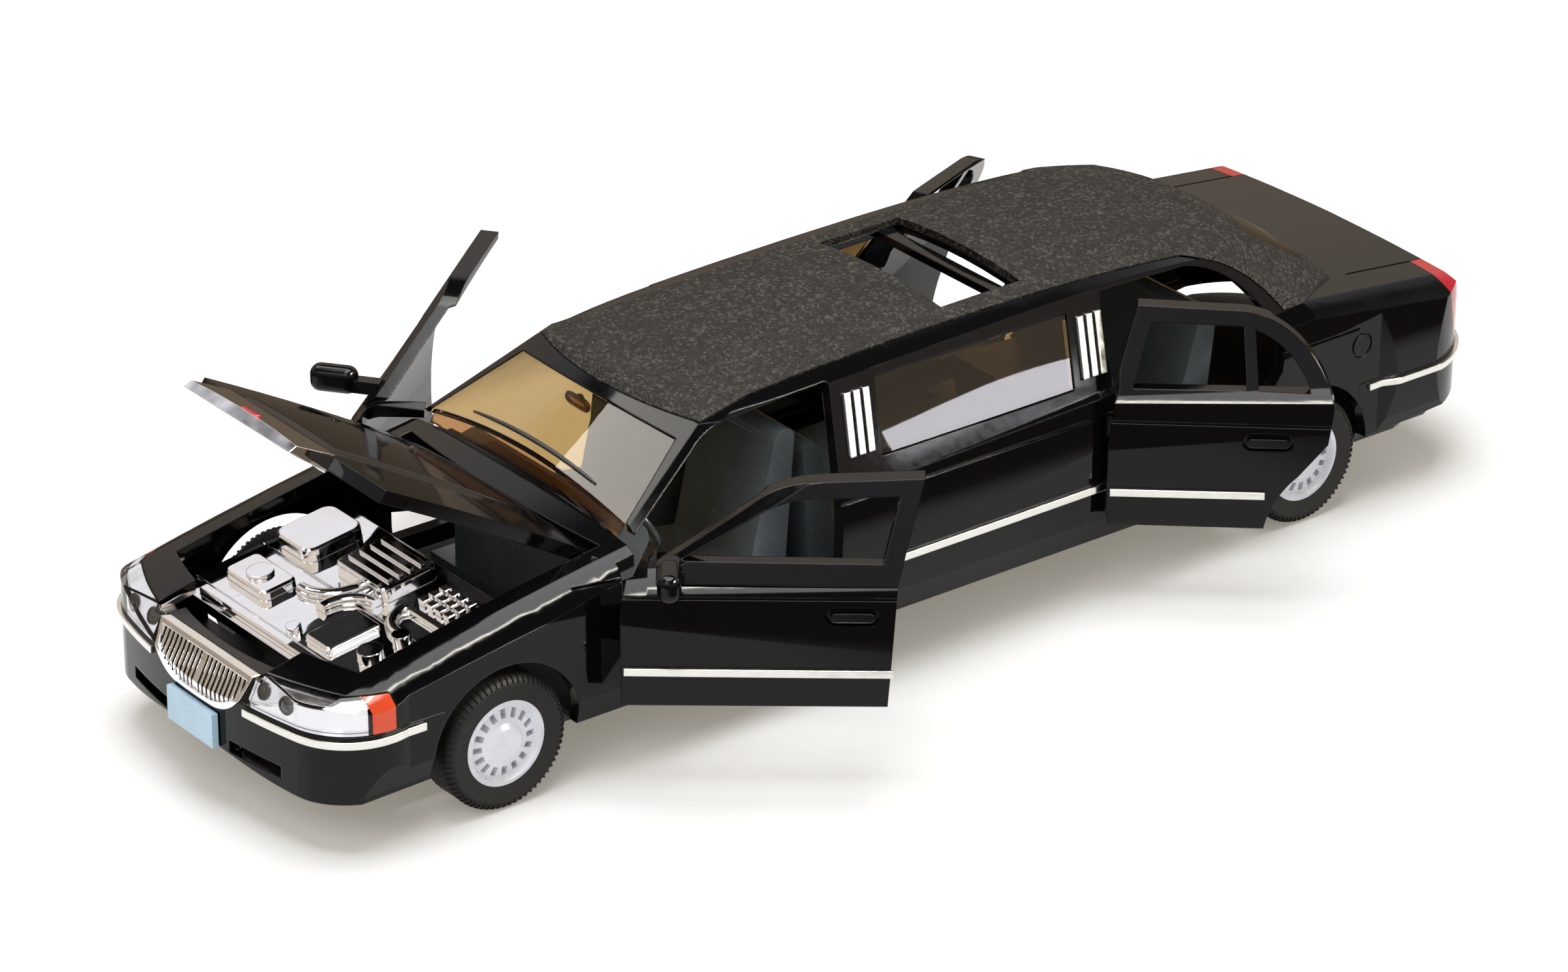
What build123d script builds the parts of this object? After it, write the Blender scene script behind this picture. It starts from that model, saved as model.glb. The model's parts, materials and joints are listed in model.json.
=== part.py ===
from build123d import *
from math import asin, cos, degrees, radians, sin, sqrt
import os

# Die-cast toy stretch limousine, millimetres.
# X points to the nose, Y to the car's left, Z up; the origin is on the ground at mid length.

# Main sizes
WHEELBASE = 118.8
OVERALL_LENGTH = 176.86
PLATE_THICK = 0.8
TRIM_GAP = 0.03
STRIP_PROUD = 0.4
NOSE_X = OVERALL_LENGTH / 2 - PLATE_THICK - TRIM_GAP
TAIL_X = STRIP_PROUD - OVERALL_LENGTH / 2
FRONT_OVERHANG = 25.6
FRONT_AXLE_X = NOSE_X - FRONT_OVERHANG
REAR_AXLE_X = FRONT_AXLE_X - WHEELBASE
HALF_WIDTH = 24.4
SILL_Z = 7.3
CREASE_Z = 10.4
STRIP_Z = 14.8
BELT_Z = 25.2
SHOULDER_Z = 27.2
ROOF_Z = 38.1
WALL = 1.6
SEAT_GAP = 0.05
REACH = OVERALL_LENGTH
BODY_LOW_Z = 4.3
BELOW_GROUND = -5.0
SIDE_Y = HALF_WIDTH - 0.15
GROOVE_DEEP = 0.25
GROOVE_WIDE = 0.28
BELT_GROOVE_Z = 23.5
BOOT_HALF = HALF_WIDTH - 8.0
FUEL_DOOR_R = 1.65
FUEL_DOOR_Z = 21.3

# Wheels
TYRE_R = 8.1
TYRE_WIDTH = 5.6
WHEEL_FACE_Y = HALF_WIDTH - 0.6
RIM_R = 5.2
RIM_SLOTS = 16
ARCH_R = 9.9
ARCH_INNER_Y = HALF_WIDTH - 7.9
AXLE_R = 0.9
AXLE_CLEARANCE = 0.08

# Doors
DOOR_GAP = 0.35
HINGE_GAP = 0.25
HINGE_INBOARD = 3.0
HUB_R = 1.05
PIN_R = 0.65
PIN_CLEARANCE = 0.08
TONGUE_THICK = 1.2
TONGUE_GAP = 0.1
EAR_THICK = 1.2
EAR_GAP = 0.15
FRONT_DOOR_TOP_Z = 35.4
REAR_DOOR_TOP_Z = 35.7
DOOR_INNER_Y = HALF_WIDTH - 9.4
PILLAR_LEAN = 0.29
WINDOW_LOW_Z = 27.2
FRONT_DOOR_REST_DEG = 38.0
REAR_LEFT_REST_DEG = 41.0
REAR_RIGHT_REST_DEG = 24.0
DOOR_MAX_DEG = 55.0
FRONT_DOOR_NOSE_X = FRONT_AXLE_X - 16.0
FRONT_DOOR_TAIL_X = FRONT_AXLE_X - 46.8
FRONT_HINGE_ARM = 7.0
REAR_DOOR_NOSE_X = REAR_AXLE_X + 30.8
REAR_DOOR_TAIL_X = REAR_AXLE_X + 4.4
REAR_HINGE_ARM = 4.4
EAR_R = 1.8

# Cabin
FLOOR_Z = 8.3
CHASSIS_LOW_Z = 5.4
CHASSIS_RIM_Z = 7.4
CHASSIS_TOP_Z = 8.2
CHASSIS_INSET = 4.0
SCREW_X = 30.0
SCREW_R = 1.2
SIDE_WINDOW_FRONT_X = FRONT_DOOR_TAIL_X - 6.8
SIDE_WINDOW_REAR_X = REAR_DOOR_NOSE_X + 5.6
SIDE_WINDOW_HIGH_Z = 34.9
GLASS_LOW_Z = 25.0
GLASS_HIGH_Z = 39.0
FLOOR_THICK = 1.0
FLOOR_HALF = HALF_WIDTH - 5.8
DASH_HALF = HALF_WIDTH - 8.6
SEAT_HALF = HALF_WIDTH - 9.2

# Roof cover
ROOF_PROUD = 0.15
ROOF_THICK = 0.7
ROOF_FRONT_X = FRONT_AXLE_X - 33.0
ROOF_BOW = 2.9
ROOF_SEAM_Y = HALF_WIDTH - 10.1
ROOF_PILLAR_X = REAR_AXLE_X + 16.0
ROOF_PILLAR_LOW_Z = 28.0

# Bonnet
BONNET_GAP = 0.35
BONNET_REST_DEG = 40.0
BONNET_AXIS_X = FRONT_AXLE_X - 14.8
BONNET_AXIS_Z = 24.6
BONNET_PIN_R = 0.55
BONNET_REAR_X = BONNET_AXIS_X - 0.6
BONNET_BOW = 3.0
COWL_GAP = 1.2
COWL_GAP_MID = 2.4
WING_WIDTH = 6.2
BONNET_HALF = HALF_WIDTH - WING_WIDTH
BONNET_FRONT_X = NOSE_X - 6.6
BONNET_FRONT_BOW = 3.4
BONNET_PIN_LONG = 2.0
HEADER_HALF = 10.5
HEADER_PROUD = 0.25

# Nose and tail
GRILLE_HALF = 9.3
GRILLE_TOP_Z = 18.05
GRILLE_LOW_Z = 12.7
GRILLE_PITCH = 0.82
LAMP_REAR_X = NOSE_X - 10.7
LAMP_INNER_Y = 9.7
LAMP_LOW_Z = 15.1
LAMP_HIGH_Z = 18.9
SIGNAL_LONG = 2.8
TAIL_LAMP_INNER_Y = HALF_WIDTH - 7.9
TAIL_LAMP_LOW_Z = 17.4
TAIL_LAMP_HIGH_Z = 26.2
BUMPER_TOP_Z = 14.95
REAR_BUMPER_TOP_Z = 16.0

# Glass
GLASS_SINK = 0.25
GLASS_THICK = 1.0
GLASS_GAP = 0.1

# Sunroof
SUNROOF_FRONT_X = FRONT_AXLE_X - 71.1
SUNROOF_REAR_X = SUNROOF_FRONT_X - 12.0
SUNROOF_HALF = HALF_WIDTH - 12.9


def outline(rows):
    """A face on the XY plane from rows of (u, v) points.

    A row (u, v, "via") bends the edge between its neighbours into an arc through it.
    """
    edges = []
    start = rows[0][:2]
    last = start
    via = None
    for row in rows[1:] + [rows[0]]:
        point = row[:2]
        if len(row) == 3:
            via = point
            continue
        if via is None:
            edges.append(Line(last, point))
        else:
            edges.append(ThreePointArc(last, via, point))
        last = point
        via = None
    return make_face(edges)


def mirrored(rows):
    """Rows of one half, with their mirror image across v = 0 added to close the outline."""
    other = [(row[0], -row[1], *row[2:]) for row in reversed(rows) if row[1] != 0]
    return rows + other


def plan_prism(face, low, high):
    return extrude(Pos(0, 0, low) * face, amount=high - low)


def side_prism(face, y_low, y_high):
    return extrude(Plane.XZ.offset(-y_low) * face, amount=y_low - y_high)


def front_prism(face, x_low, x_high):
    return extrude(Plane.YZ.offset(x_low) * face, amount=x_high - x_low)


def block(x0, x1, y0, y1, z0, z1):
    """A box between two corners."""
    size = Box(x1 - x0, y1 - y0, z1 - z0, align=(Align.MIN, Align.MIN, Align.MIN))
    return Pos(x0, y0, z0) * size


def post(x, y, z0, z1, radius):
    """An upright cylinder."""
    return Pos(x, y, z0) * Cylinder(radius, z1 - z0, align=(Align.CENTER, Align.CENTER, Align.MIN))


def cross_rod(x, z, y0, y1, radius):
    """A cylinder that lies across the car."""
    rod = Cylinder(radius, y1 - y0, align=(Align.CENTER, Align.CENTER, Align.MIN))
    return Pos(x, y0, z) * Rot(-90, 0, 0) * rod


def both_sides(shape):
    return shape + mirror(shape, about=Plane.XZ)


# Body forms: each takes an inset, so that one form gives skins, panels and trim


def body_plan(inset):
    """The body seen from above."""
    half = [
        (NOSE_X - 2.0 - inset, HALF_WIDTH - 6.9 - inset / 2),
        (NOSE_X - 4.7 - inset, HALF_WIDTH - 2.5 - inset, "via"),
        (NOSE_X - 12.6 - inset, HALF_WIDTH - 0.6 - inset),
        ((NOSE_X + TAIL_X) / 2, HALF_WIDTH - inset, "via"),
        (TAIL_X + 19.6 + inset, HALF_WIDTH - 0.8 - inset),
        (TAIL_X + 6.0 + inset, HALF_WIDTH - 2.2 - inset, "via"),
        (TAIL_X + 2.2 + inset, HALF_WIDTH - 6.5 - inset / 2),
        (TAIL_X + inset, 0.0, "via"),
    ]
    return outline(mirrored(half) + [(NOSE_X - inset, 0.0, "via")])


def body_section(inset, bottom):
    """The body below the windows, cut across the car."""
    half = [
        (bottom, HALF_WIDTH - 1.4 - inset),
        (SILL_Z, HALF_WIDTH - 1.2 - inset),
        (CREASE_Z, HALF_WIDTH - 0.35 - inset),
        (17.5, HALF_WIDTH - inset, "via"),
        (BELT_Z, HALF_WIDTH - 0.9 - inset),
        (SHOULDER_Z + 6.0, HALF_WIDTH - 2.6 - inset),
    ]
    return outline([(row[1], row[0], *row[2:]) for row in mirrored(half)])


def body_profile(inset, bottom):
    """The nose, tail and lower edge seen from the side."""
    nose = NOSE_X - inset
    tail = TAIL_X + inset
    top = REACH
    rows = [
        (nose - 2.6, 6.5),
        (nose - 0.5, 7.4, "via"),
        (nose + 0.2, 10.0),
        (nose + 0.2, 13.8),
        (nose - 1.2, 16.4),
        (nose - 2.7, 19.6),
        (nose - 2.7, top),
        (tail + 6.9, top),
        (tail + 6.9, 26.4),
        (tail + 1.8, 17.2),
        (tail - 0.2, 16.2),
        (tail - 0.2, 11.5),
        (tail + 0.4, 10.4, "via"),
        (tail + 2.2, 9.95),
        (REAR_AXLE_X - ARCH_R, 8.4),
        (REAR_AXLE_X + ARCH_R, SILL_Z),
        (FRONT_AXLE_X - ARCH_R, SILL_Z),
    ]
    if bottom < 0:
        rows = [row for row in rows if row[1] > 9.9]
        rows = [(nose + 0.2, bottom)] + rows + [(tail - 0.2, bottom)]
    return outline(rows)


def crown(x, middle, knee, shape):
    """A face across the car under an arc that is highest at the middle and turns down past its knees.

    The shape gives the bottom height, the knee's distance from the middle, the half width and the drop there.
    """
    bottom, knee_y, half, drop = shape
    turn_y = knee_y + 0.62 * (half - knee_y)
    turn_z = knee - 0.36 * drop
    rows = [
        (-half, bottom), (-half, knee - drop), (-turn_y, turn_z, "via"), (-knee_y, knee), (0.0, middle, "via"),
        (knee_y, knee), (turn_y, turn_z, "via"), (half, knee - drop), (half, bottom)]
    return Plane.YZ.offset(x) * outline(rows)


def crowned(stations, inset, shape):
    """A loft along the car through crowns given as rows of (x, middle height, knee height)."""
    return loft([crown(x, middle - inset, knee - inset, shape) for x, middle, knee in stations])


BONNET_CROWN = [(NOSE_X + 4.4, 17.7, 16.5), (FRONT_AXLE_X + 4.0, 23.3, 22.1), (FRONT_AXLE_X - 19.0, 27.0, 25.8)]
DECK_CROWN = [(REAR_AXLE_X - 1.2, 29.0, 28.0), (TAIL_X - 4.0, 25.3, 24.4)]
ROOF_CROWN = [
    (FRONT_AXLE_X - 20.0, 34.3, 33.3),
    (FRONT_AXLE_X - 40.0, ROOF_Z - 1.2, ROOF_Z - 2.2),
    (FRONT_AXLE_X - 74.0, ROOF_Z, ROOF_Z - 1.0),
    (REAR_AXLE_X + 14.8, ROOF_Z - 0.5, ROOF_Z - 1.5),
    (REAR_AXLE_X - 9.2, 33.4, 32.4),
]
CROWN_HALF = HALF_WIDTH + 1.6
SHOULDER_Y = HALF_WIDTH - 3.9
SHOULDER_DROP = 5.5
CANTRAIL_Y = HALF_WIDTH - 11.4
CANTRAIL_DROP = 7.5


def lower_form(inset, bottom):
    """The body below the windows."""
    shape = (bottom, SHOULDER_Y, CROWN_HALF, SHOULDER_DROP)
    top = crowned(BONNET_CROWN, inset, shape)
    top += crowned(DECK_CROWN, inset, shape)
    top += crowned([BONNET_CROWN[2], DECK_CROWN[0]], inset, shape)
    form = plan_prism(body_plan(inset), bottom, REACH) & top
    form = form & front_prism(body_section(inset, bottom), -REACH, REACH)
    return form & side_prism(body_profile(inset, bottom), -REACH, REACH)


def cabin_outline(low, inset):
    """The cabin seen from above: at the belt, or run on up to the height of the roof."""
    if low:
        front, rear = FRONT_AXLE_X, REAR_AXLE_X
        screen_mid = (front - 11.6, 0.0)
        screen = (front - 15.7, HALF_WIDTH - 3.5)
        pillar = (front - 19.5, HALF_WIDTH - 1.5)
        side_mid = ((front + rear) / 2, HALF_WIDTH - 0.9)
        rear_pillar = (rear - 5.2, HALF_WIDTH - 1.9)
        back = (rear - 13.7, HALF_WIDTH - 6.9)
        back_mid = (rear - 17.2, 0.0)
    else:
        front, rear = FRONT_AXLE_X, REAR_AXLE_X
        screen_mid = (front - 36.6, 0.0)
        screen = (front - 39.8, HALF_WIDTH - 11.2)
        pillar = (front - 44.5, HALF_WIDTH - 9.5)
        side_mid = ((front + rear) / 2, HALF_WIDTH - 9.15)
        rear_pillar = (rear + 14.8, HALF_WIDTH - 9.7)
        back = (rear + 9.3, HALF_WIDTH - 12.4)
        back_mid = (rear + 5.8, 0.0)
    half = [
        (screen[0] - inset, screen[1] - inset / 2),
        (pillar[0] - inset / 2, pillar[1] - inset),
        (side_mid[0], side_mid[1] - inset, "via"),
        (rear_pillar[0] + inset / 2, rear_pillar[1] - inset),
        (back[0] + inset, back[1] - inset / 2),
        (back_mid[0] + inset, 0.0, "via"),
    ]
    return outline(mirrored(half) + [(screen_mid[0] - inset, 0.0, "via")])


def cabin_form(inset):
    """The cabin above the belt."""
    shape = (FLOOR_Z, CANTRAIL_Y, CROWN_HALF, CANTRAIL_DROP)
    low = Pos(0, 0, GLASS_LOW_Z) * cabin_outline(True, inset)
    high = Pos(0, 0, GLASS_HIGH_Z) * cabin_outline(False, inset)
    return loft([low, high], ruled=True) & crowned(ROOF_CROWN, inset, shape)


OUTER_LOWER = lower_form(0.0, BODY_LOW_Z)
INNER_LOWER = lower_form(WALL, BELOW_GROUND)
OUTER_CABIN = cabin_form(0.0)
INNER_CABIN = cabin_form(WALL)
SKIN_LOWER = OUTER_LOWER - INNER_LOWER
BELT_HOLLOW = plan_prism(cabin_outline(True, WALL), FLOOR_Z, GLASS_LOW_Z + 1.0)
BELT_HOLLOW = BELT_HOLLOW & block(REAR_DOOR_TAIL_X - 4.0, FRONT_DOOR_NOSE_X - 5.0, -REACH, REACH, 0.0, REACH)
SKIN = (OUTER_LOWER + OUTER_CABIN) - (INNER_LOWER + INNER_CABIN + BELT_HOLLOW)
GROOVE_FORM = lower_form(-1.0, BODY_LOW_Z) - lower_form(GROOVE_DEEP, BELOW_GROUND)
belt_groove = block(REAR_AXLE_X - 8.0, FRONT_AXLE_X - 10.0, -REACH, REACH, BELT_GROOVE_Z, BELT_GROOVE_Z + GROOVE_WIDE)
boot_groove = block(TAIL_X + 6.0, REAR_AXLE_X - 12.0, BOOT_HALF, BOOT_HALF + GROOVE_WIDE, BELT_Z - 1.0, REACH)
SKIN -= GROOVE_FORM & (belt_groove + both_sides(boot_groove))
TRIM_SEAT = lower_form(-TRIM_GAP, BODY_LOW_Z)
TRIM_FORM = lower_form(-STRIP_PROUD, BODY_LOW_Z) - TRIM_SEAT


# Doors, made closed on the left side


def hinge_point(nose_x, arm):
    """Where a door's hinge pin stands, seen from above."""
    return nose_x + sqrt(arm ** 2 - HINGE_INBOARD ** 2), SIDE_Y - HINGE_INBOARD


def polar(pin, radius, angle):
    """A point round a hinge pin; angle 0 points to the tail and grows outwards."""
    return pin[0] - radius * cos(radians(angle)), pin[1] + radius * sin(radians(angle))


def tongue(pin, arm, low, high):
    """The goose-neck that carries a door, with its hub and pin."""
    inner = arm + TONGUE_GAP
    outer = inner + TONGUE_THICK
    root = degrees(asin((HINGE_INBOARD - WALL / 2) / outer))
    tip = -(DOOR_MAX_DEG + 10.0)
    middle = (root + tip) / 2
    rows = [
        polar(pin, inner, root),
        (*polar(pin, inner, middle), "via"),
        polar(pin, inner, tip),
        polar(pin, outer, tip),
        (*polar(pin, outer, middle), "via"),
        polar(pin, outer, root),
    ]
    neck = plan_prism(outline(rows), low, high)
    bar = Box(outer, TONGUE_THICK, high - low, align=(Align.MIN, Align.CENTER, Align.MIN))
    bar = Pos(pin[0], pin[1], low) * Rot(0, 0, 180.0 - tip) * bar
    hub = post(*pin, low, high, HUB_R)
    reach = EAR_GAP + EAR_THICK
    return neck + bar + hub + post(*pin, low - reach, high + reach, PIN_R)


def hinge_ears(pin, low, high):
    """The two ears inside the body that hold a door's pin."""
    ears = Part()
    for base in (low - EAR_GAP - EAR_THICK, high + EAR_GAP):
        ear = block(pin[0] - EAR_R, pin[0] + EAR_R, pin[1], SIDE_Y - WALL / 2, base, base + EAR_THICK)
        ear += post(*pin, base, base + EAR_THICK, EAR_R)
        ears += ear - post(*pin, base, base + EAR_THICK, PIN_R + PIN_CLEARANCE)
    return ears


FRONT_PIN = hinge_point(FRONT_DOOR_NOSE_X, FRONT_HINGE_ARM)
REAR_PIN = hinge_point(REAR_DOOR_NOSE_X, REAR_HINGE_ARM)


def lean(x, z):
    """A point on a pillar's edge that stands at x at the belt and leans to the tail above it."""
    return x - PILLAR_LEAN * (z - BELT_Z), z


WINDOW_EDGE = 2.2
FRONT_WINDOW_TOP_Z = FRONT_DOOR_TOP_Z - 1.7
REAR_WINDOW_TOP_Z = REAR_DOOR_TOP_Z - 1.7


def front_door_face():
    nose = FRONT_DOOR_NOSE_X
    tail = FRONT_DOOR_TAIL_X
    return outline([
        (FRONT_PIN[0], CREASE_Z),
        (FRONT_PIN[0], BELT_Z - 0.2),
        (nose - 2.4, BELT_Z + 0.2),
        (nose - 14.6, 32.4),
        (nose - 18.0, 34.1, "via"),
        (nose - 22.4, FRONT_DOOR_TOP_Z - 0.5),
        lean(tail, FRONT_DOOR_TOP_Z),
        (tail, BELT_Z),
        (tail + 1.0, CREASE_Z),
    ])


def front_window_face():
    nose = FRONT_DOOR_NOSE_X
    tail = FRONT_DOOR_TAIL_X + WINDOW_EDGE
    return outline([
        (nose - 6.8, WINDOW_LOW_Z),
        (nose - 15.6, 31.8),
        (nose - 18.6, 32.9, "via"),
        (nose - 22.6, FRONT_WINDOW_TOP_Z - 0.4),
        lean(tail, FRONT_WINDOW_TOP_Z),
        lean(tail, WINDOW_LOW_Z),
    ])


def rear_door_face():
    nose = REAR_DOOR_NOSE_X
    tail = REAR_DOOR_TAIL_X
    arch = ARCH_R + 2.5
    low_x = REAR_AXLE_X + sqrt(arch ** 2 - (CREASE_Z - TYRE_R) ** 2)
    return outline([
        (REAR_PIN[0], CREASE_Z),
        (REAR_PIN[0], BELT_Z - 0.2),
        (nose, BELT_Z),
        lean(nose, REAR_DOOR_TOP_Z),
        (tail + 10.6, REAR_DOOR_TOP_Z - 0.4),
        (tail + 3.6, 31.9, "via"),
        (tail, BELT_Z + 0.8),
        (tail + 0.6, 21.5),
        (REAR_AXLE_X + arch * cos(radians(47.0)), TYRE_R + arch * sin(radians(47.0))),
        (REAR_AXLE_X + arch * cos(radians(28.0)), TYRE_R + arch * sin(radians(28.0)), "via"),
        (low_x, CREASE_Z),
    ])


def rear_window_faces():
    nose = REAR_DOOR_NOSE_X - WINDOW_EDGE
    tail = REAR_DOOR_TAIL_X
    main = outline([
        lean(nose, WINDOW_LOW_Z),
        lean(nose, REAR_WINDOW_TOP_Z),
        (tail + 10.9, REAR_WINDOW_TOP_Z - 0.3),
        (tail + 10.3, WINDOW_LOW_Z),
    ])
    quarter = outline([
        (tail + 8.9, WINDOW_LOW_Z),
        (tail + 9.5, REAR_WINDOW_TOP_Z - 0.6),
        (tail + 5.6, 31.2, "via"),
        (tail + 2.8, WINDOW_LOW_Z),
    ])
    return main + quarter


# Columns: name, outline, window, nose, strip's tail, handle, hinge pin, arm, hinge low and high, rest left and right
DOORS = [
    ("door_front", front_door_face(), front_window_face(), FRONT_DOOR_NOSE_X, FRONT_DOOR_TAIL_X,
     FRONT_DOOR_TAIL_X + 5.0, FRONT_PIN, FRONT_HINGE_ARM, 16.0, 20.4, FRONT_DOOR_REST_DEG, FRONT_DOOR_REST_DEG),
    ("door_rear", rear_door_face(), rear_window_faces(), REAR_DOOR_NOSE_X, REAR_AXLE_X + 11.8,
     REAR_DOOR_TAIL_X + 7.6, REAR_PIN, REAR_HINGE_ARM, 15.5, 20.5, REAR_LEFT_REST_DEG, REAR_RIGHT_REST_DEG),
]


def door_space(face):
    """What a left door takes of the body's skin: the side wall alone ahead of its nose."""
    space = side_prism(face, DOOR_INNER_Y, REACH)
    return space - block(FRONT_DOOR_NOSE_X - 3.0, REACH, 0.0, SIDE_Y - WALL - 0.8, 0.0, BELT_Z + 1.0)


def door_panel(face, window, pin, arm, low, high):
    """A closed left door: its skin with the window cut, and the goose-neck that carries it."""
    panel = SKIN & door_space(face)
    panel -= side_prism(window, DOOR_INNER_Y - 1.0, REACH)
    panel -= post(*pin, BODY_LOW_Z, REAR_DOOR_TOP_Z + 1.0, arm)
    return panel + tongue(pin, arm, low, high)


HANDLE_Z = 21.6
HANDLE_FLOOR_Y = SIDE_Y - 0.75


def handle_slot(x, long, tall, y_low, y_high):
    return side_prism(Pos(x, HANDLE_Z) * SlotOverall(long, tall), y_low, y_high)


def with_handle(panel, x):
    """A door panel with an oval recess and a pull in it."""
    panel = panel - handle_slot(x, 6.0, 2.1, HANDLE_FLOOR_Y, REACH)
    return panel + handle_slot(x, 5.0, 1.1, HANDLE_FLOOR_Y - 0.2, SIDE_Y + 0.1)


def wing_mirror():
    """A mirror housing on its foot at the front of the door's window."""
    foot_x = FRONT_DOOR_NOSE_X - 5.6
    pod = Pos(foot_x, HALF_WIDTH + 2.4, 27.3) * Box(2.7, 5.8, 3.4)
    pod = fillet(pod.edges(), 1.25)
    return pod + block(foot_x - 0.8, foot_x + 0.8, HALF_WIDTH - 3.4, HALF_WIDTH + 0.6, 26.0, 27.6)


def opened(shape, pin, angle):
    """A left door's piece, swung open about its pin."""
    return shape.rotate(Axis((pin[0], pin[1], 0.0), (0.0, 0.0, -1.0)), angle)


# Bonnet


def bonnet_face(grow, cowl, cowl_mid):
    """The bonnet seen from above, grown at its sides and front, and further at the cowl."""
    return outline([
        (BONNET_REAR_X - cowl, -BONNET_HALF - grow),
        (BONNET_REAR_X + BONNET_BOW - cowl_mid, 0.0, "via"),
        (BONNET_REAR_X - cowl, BONNET_HALF + grow),
        (BONNET_FRONT_X - BONNET_FRONT_BOW + grow, BONNET_HALF - 0.1 + grow),
        (BONNET_FRONT_X + grow, 0.0, "via"),
        (BONNET_FRONT_X - BONNET_FRONT_BOW + grow, -BONNET_HALF + 0.1 - grow),
    ])


def bonnet_pin(radius, reach):
    """A hinge pin at the bonnet's left rear corner, or the hole for it."""
    return cross_rod(BONNET_AXIS_X, BONNET_AXIS_Z, BONNET_HALF - 1.5, BONNET_HALF + reach, radius)


def bonnet_panel():
    """The bonnet closed, with a hinge pin at each rear corner."""
    panel = SKIN_LOWER & plan_prism(bonnet_face(0.0, 0.0, 0.0), 17.0, REACH)
    return panel + both_sides(bonnet_pin(BONNET_PIN_R, BONNET_PIN_LONG))


def bonnet_ears():
    """Bosses under the wings, deep enough for the bonnet's pins."""
    low_y = BONNET_HALF + BONNET_GAP
    ear = block(BONNET_AXIS_X - EAR_R, BONNET_AXIS_X + EAR_R, low_y, low_y + BONNET_PIN_LONG,
                BONNET_AXIS_Z - EAR_R, BONNET_AXIS_Z - BONNET_PIN_R)
    return both_sides(ear)


def header_space():
    """The gap in the nose that takes the chrome header when the bonnet is down."""
    half = HEADER_HALF + BONNET_GAP
    return block(BONNET_FRONT_X - 3.0, NOSE_X + 5.0, -half, half, GRILLE_TOP_Z - 0.2, 21.0)


def raised(shape):
    """A piece of the bonnet, swung up about its pins."""
    return shape.rotate(Axis((BONNET_AXIS_X, 0.0, BONNET_AXIS_Z), (0.0, -1.0, 0.0)), BONNET_REST_DEG)


# Nose and tail


def grille_face(shrink):
    """The grille's shield seen from the front."""
    half = GRILLE_HALF - shrink
    top = GRILLE_TOP_Z - shrink
    low = GRILLE_LOW_Z + shrink
    return outline([
        (-half, top),
        (half, top),
        (half - 0.7, 15.4),
        (half - 2.6, low + 0.9, "via"),
        (half - 5.6, low),
        (-half + 5.6, low),
        (-half + 2.6, low + 0.9, "via"),
        (-half + 0.7, 15.4),
    ])


def grille_piece():
    """Chrome rim, upright bars and a broad middle bar."""
    rim = grille_face(0.0) - grille_face(0.6)
    count = int(GRILLE_HALF / GRILLE_PITCH)
    bars = Rectangle(1.0, 20.0)
    for index in range(1, count + 1):
        bars += Pos(index * GRILLE_PITCH + 0.25, 0.0) * Rectangle(0.42, 20.0)
        bars += Pos(-index * GRILLE_PITCH - 0.25, 0.0) * Rectangle(0.42, 20.0)
    bars = (Pos(0.0, 15.0) * bars) & grille_face(0.3)
    rim_form = lower_form(-0.25, BODY_LOW_Z) - lower_form(0.8, BELOW_GROUND)
    rim_piece = rim_form & front_prism(rim, BONNET_FRONT_X - 2.0, REACH * 2)
    bar_form = OUTER_LOWER - lower_form(0.8, BELOW_GROUND)
    return rim_piece + (bar_form & front_prism(bars, BONNET_FRONT_X - 2.0, REACH * 2))


def lamp_box(grow):
    """The left headlamp's space."""
    return block(LAMP_REAR_X - grow, NOSE_X + 2.0, LAMP_INNER_Y - grow, REACH,
                 LAMP_LOW_Z - grow, LAMP_HIGH_Z + grow)


def tail_lamp_box(grow):
    """The left tail lamp's space: a band that leans with the tail and wraps round its corner."""
    low_z = TAIL_LAMP_LOW_Z - grow
    high_z = TAIL_LAMP_HIGH_Z + grow
    face = outline([
        (TAIL_X + 5.9 + grow, low_z), (TAIL_X + 8.6 + grow, high_z), (TAIL_X - 2.0, high_z), (TAIL_X - 2.0, low_z)])
    return side_prism(face, TAIL_LAMP_INNER_Y - grow, REACH)


def arch_cut(axle_x):
    """A wheel arch through both sides of the body."""
    return cross_rod(axle_x, TYRE_R, -REACH, REACH, ARCH_R) - block(-REACH, REACH, -ARCH_INNER_Y, ARCH_INNER_Y, 0.0, REACH)


def bumper_box(grow):
    """The front bumper's space."""
    return block(FRONT_AXLE_X + ARCH_R - 1.5, NOSE_X + 5.0, -REACH, REACH, 0.0, BUMPER_TOP_Z + grow)


def rear_bumper_box(grow):
    """The rear bumper's space."""
    return block(TAIL_X - 5.0, REAR_AXLE_X - ARCH_R + 1.5, -REACH, REACH, 0.0, REAR_BUMPER_TOP_Z + grow)


# Cabin


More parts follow.
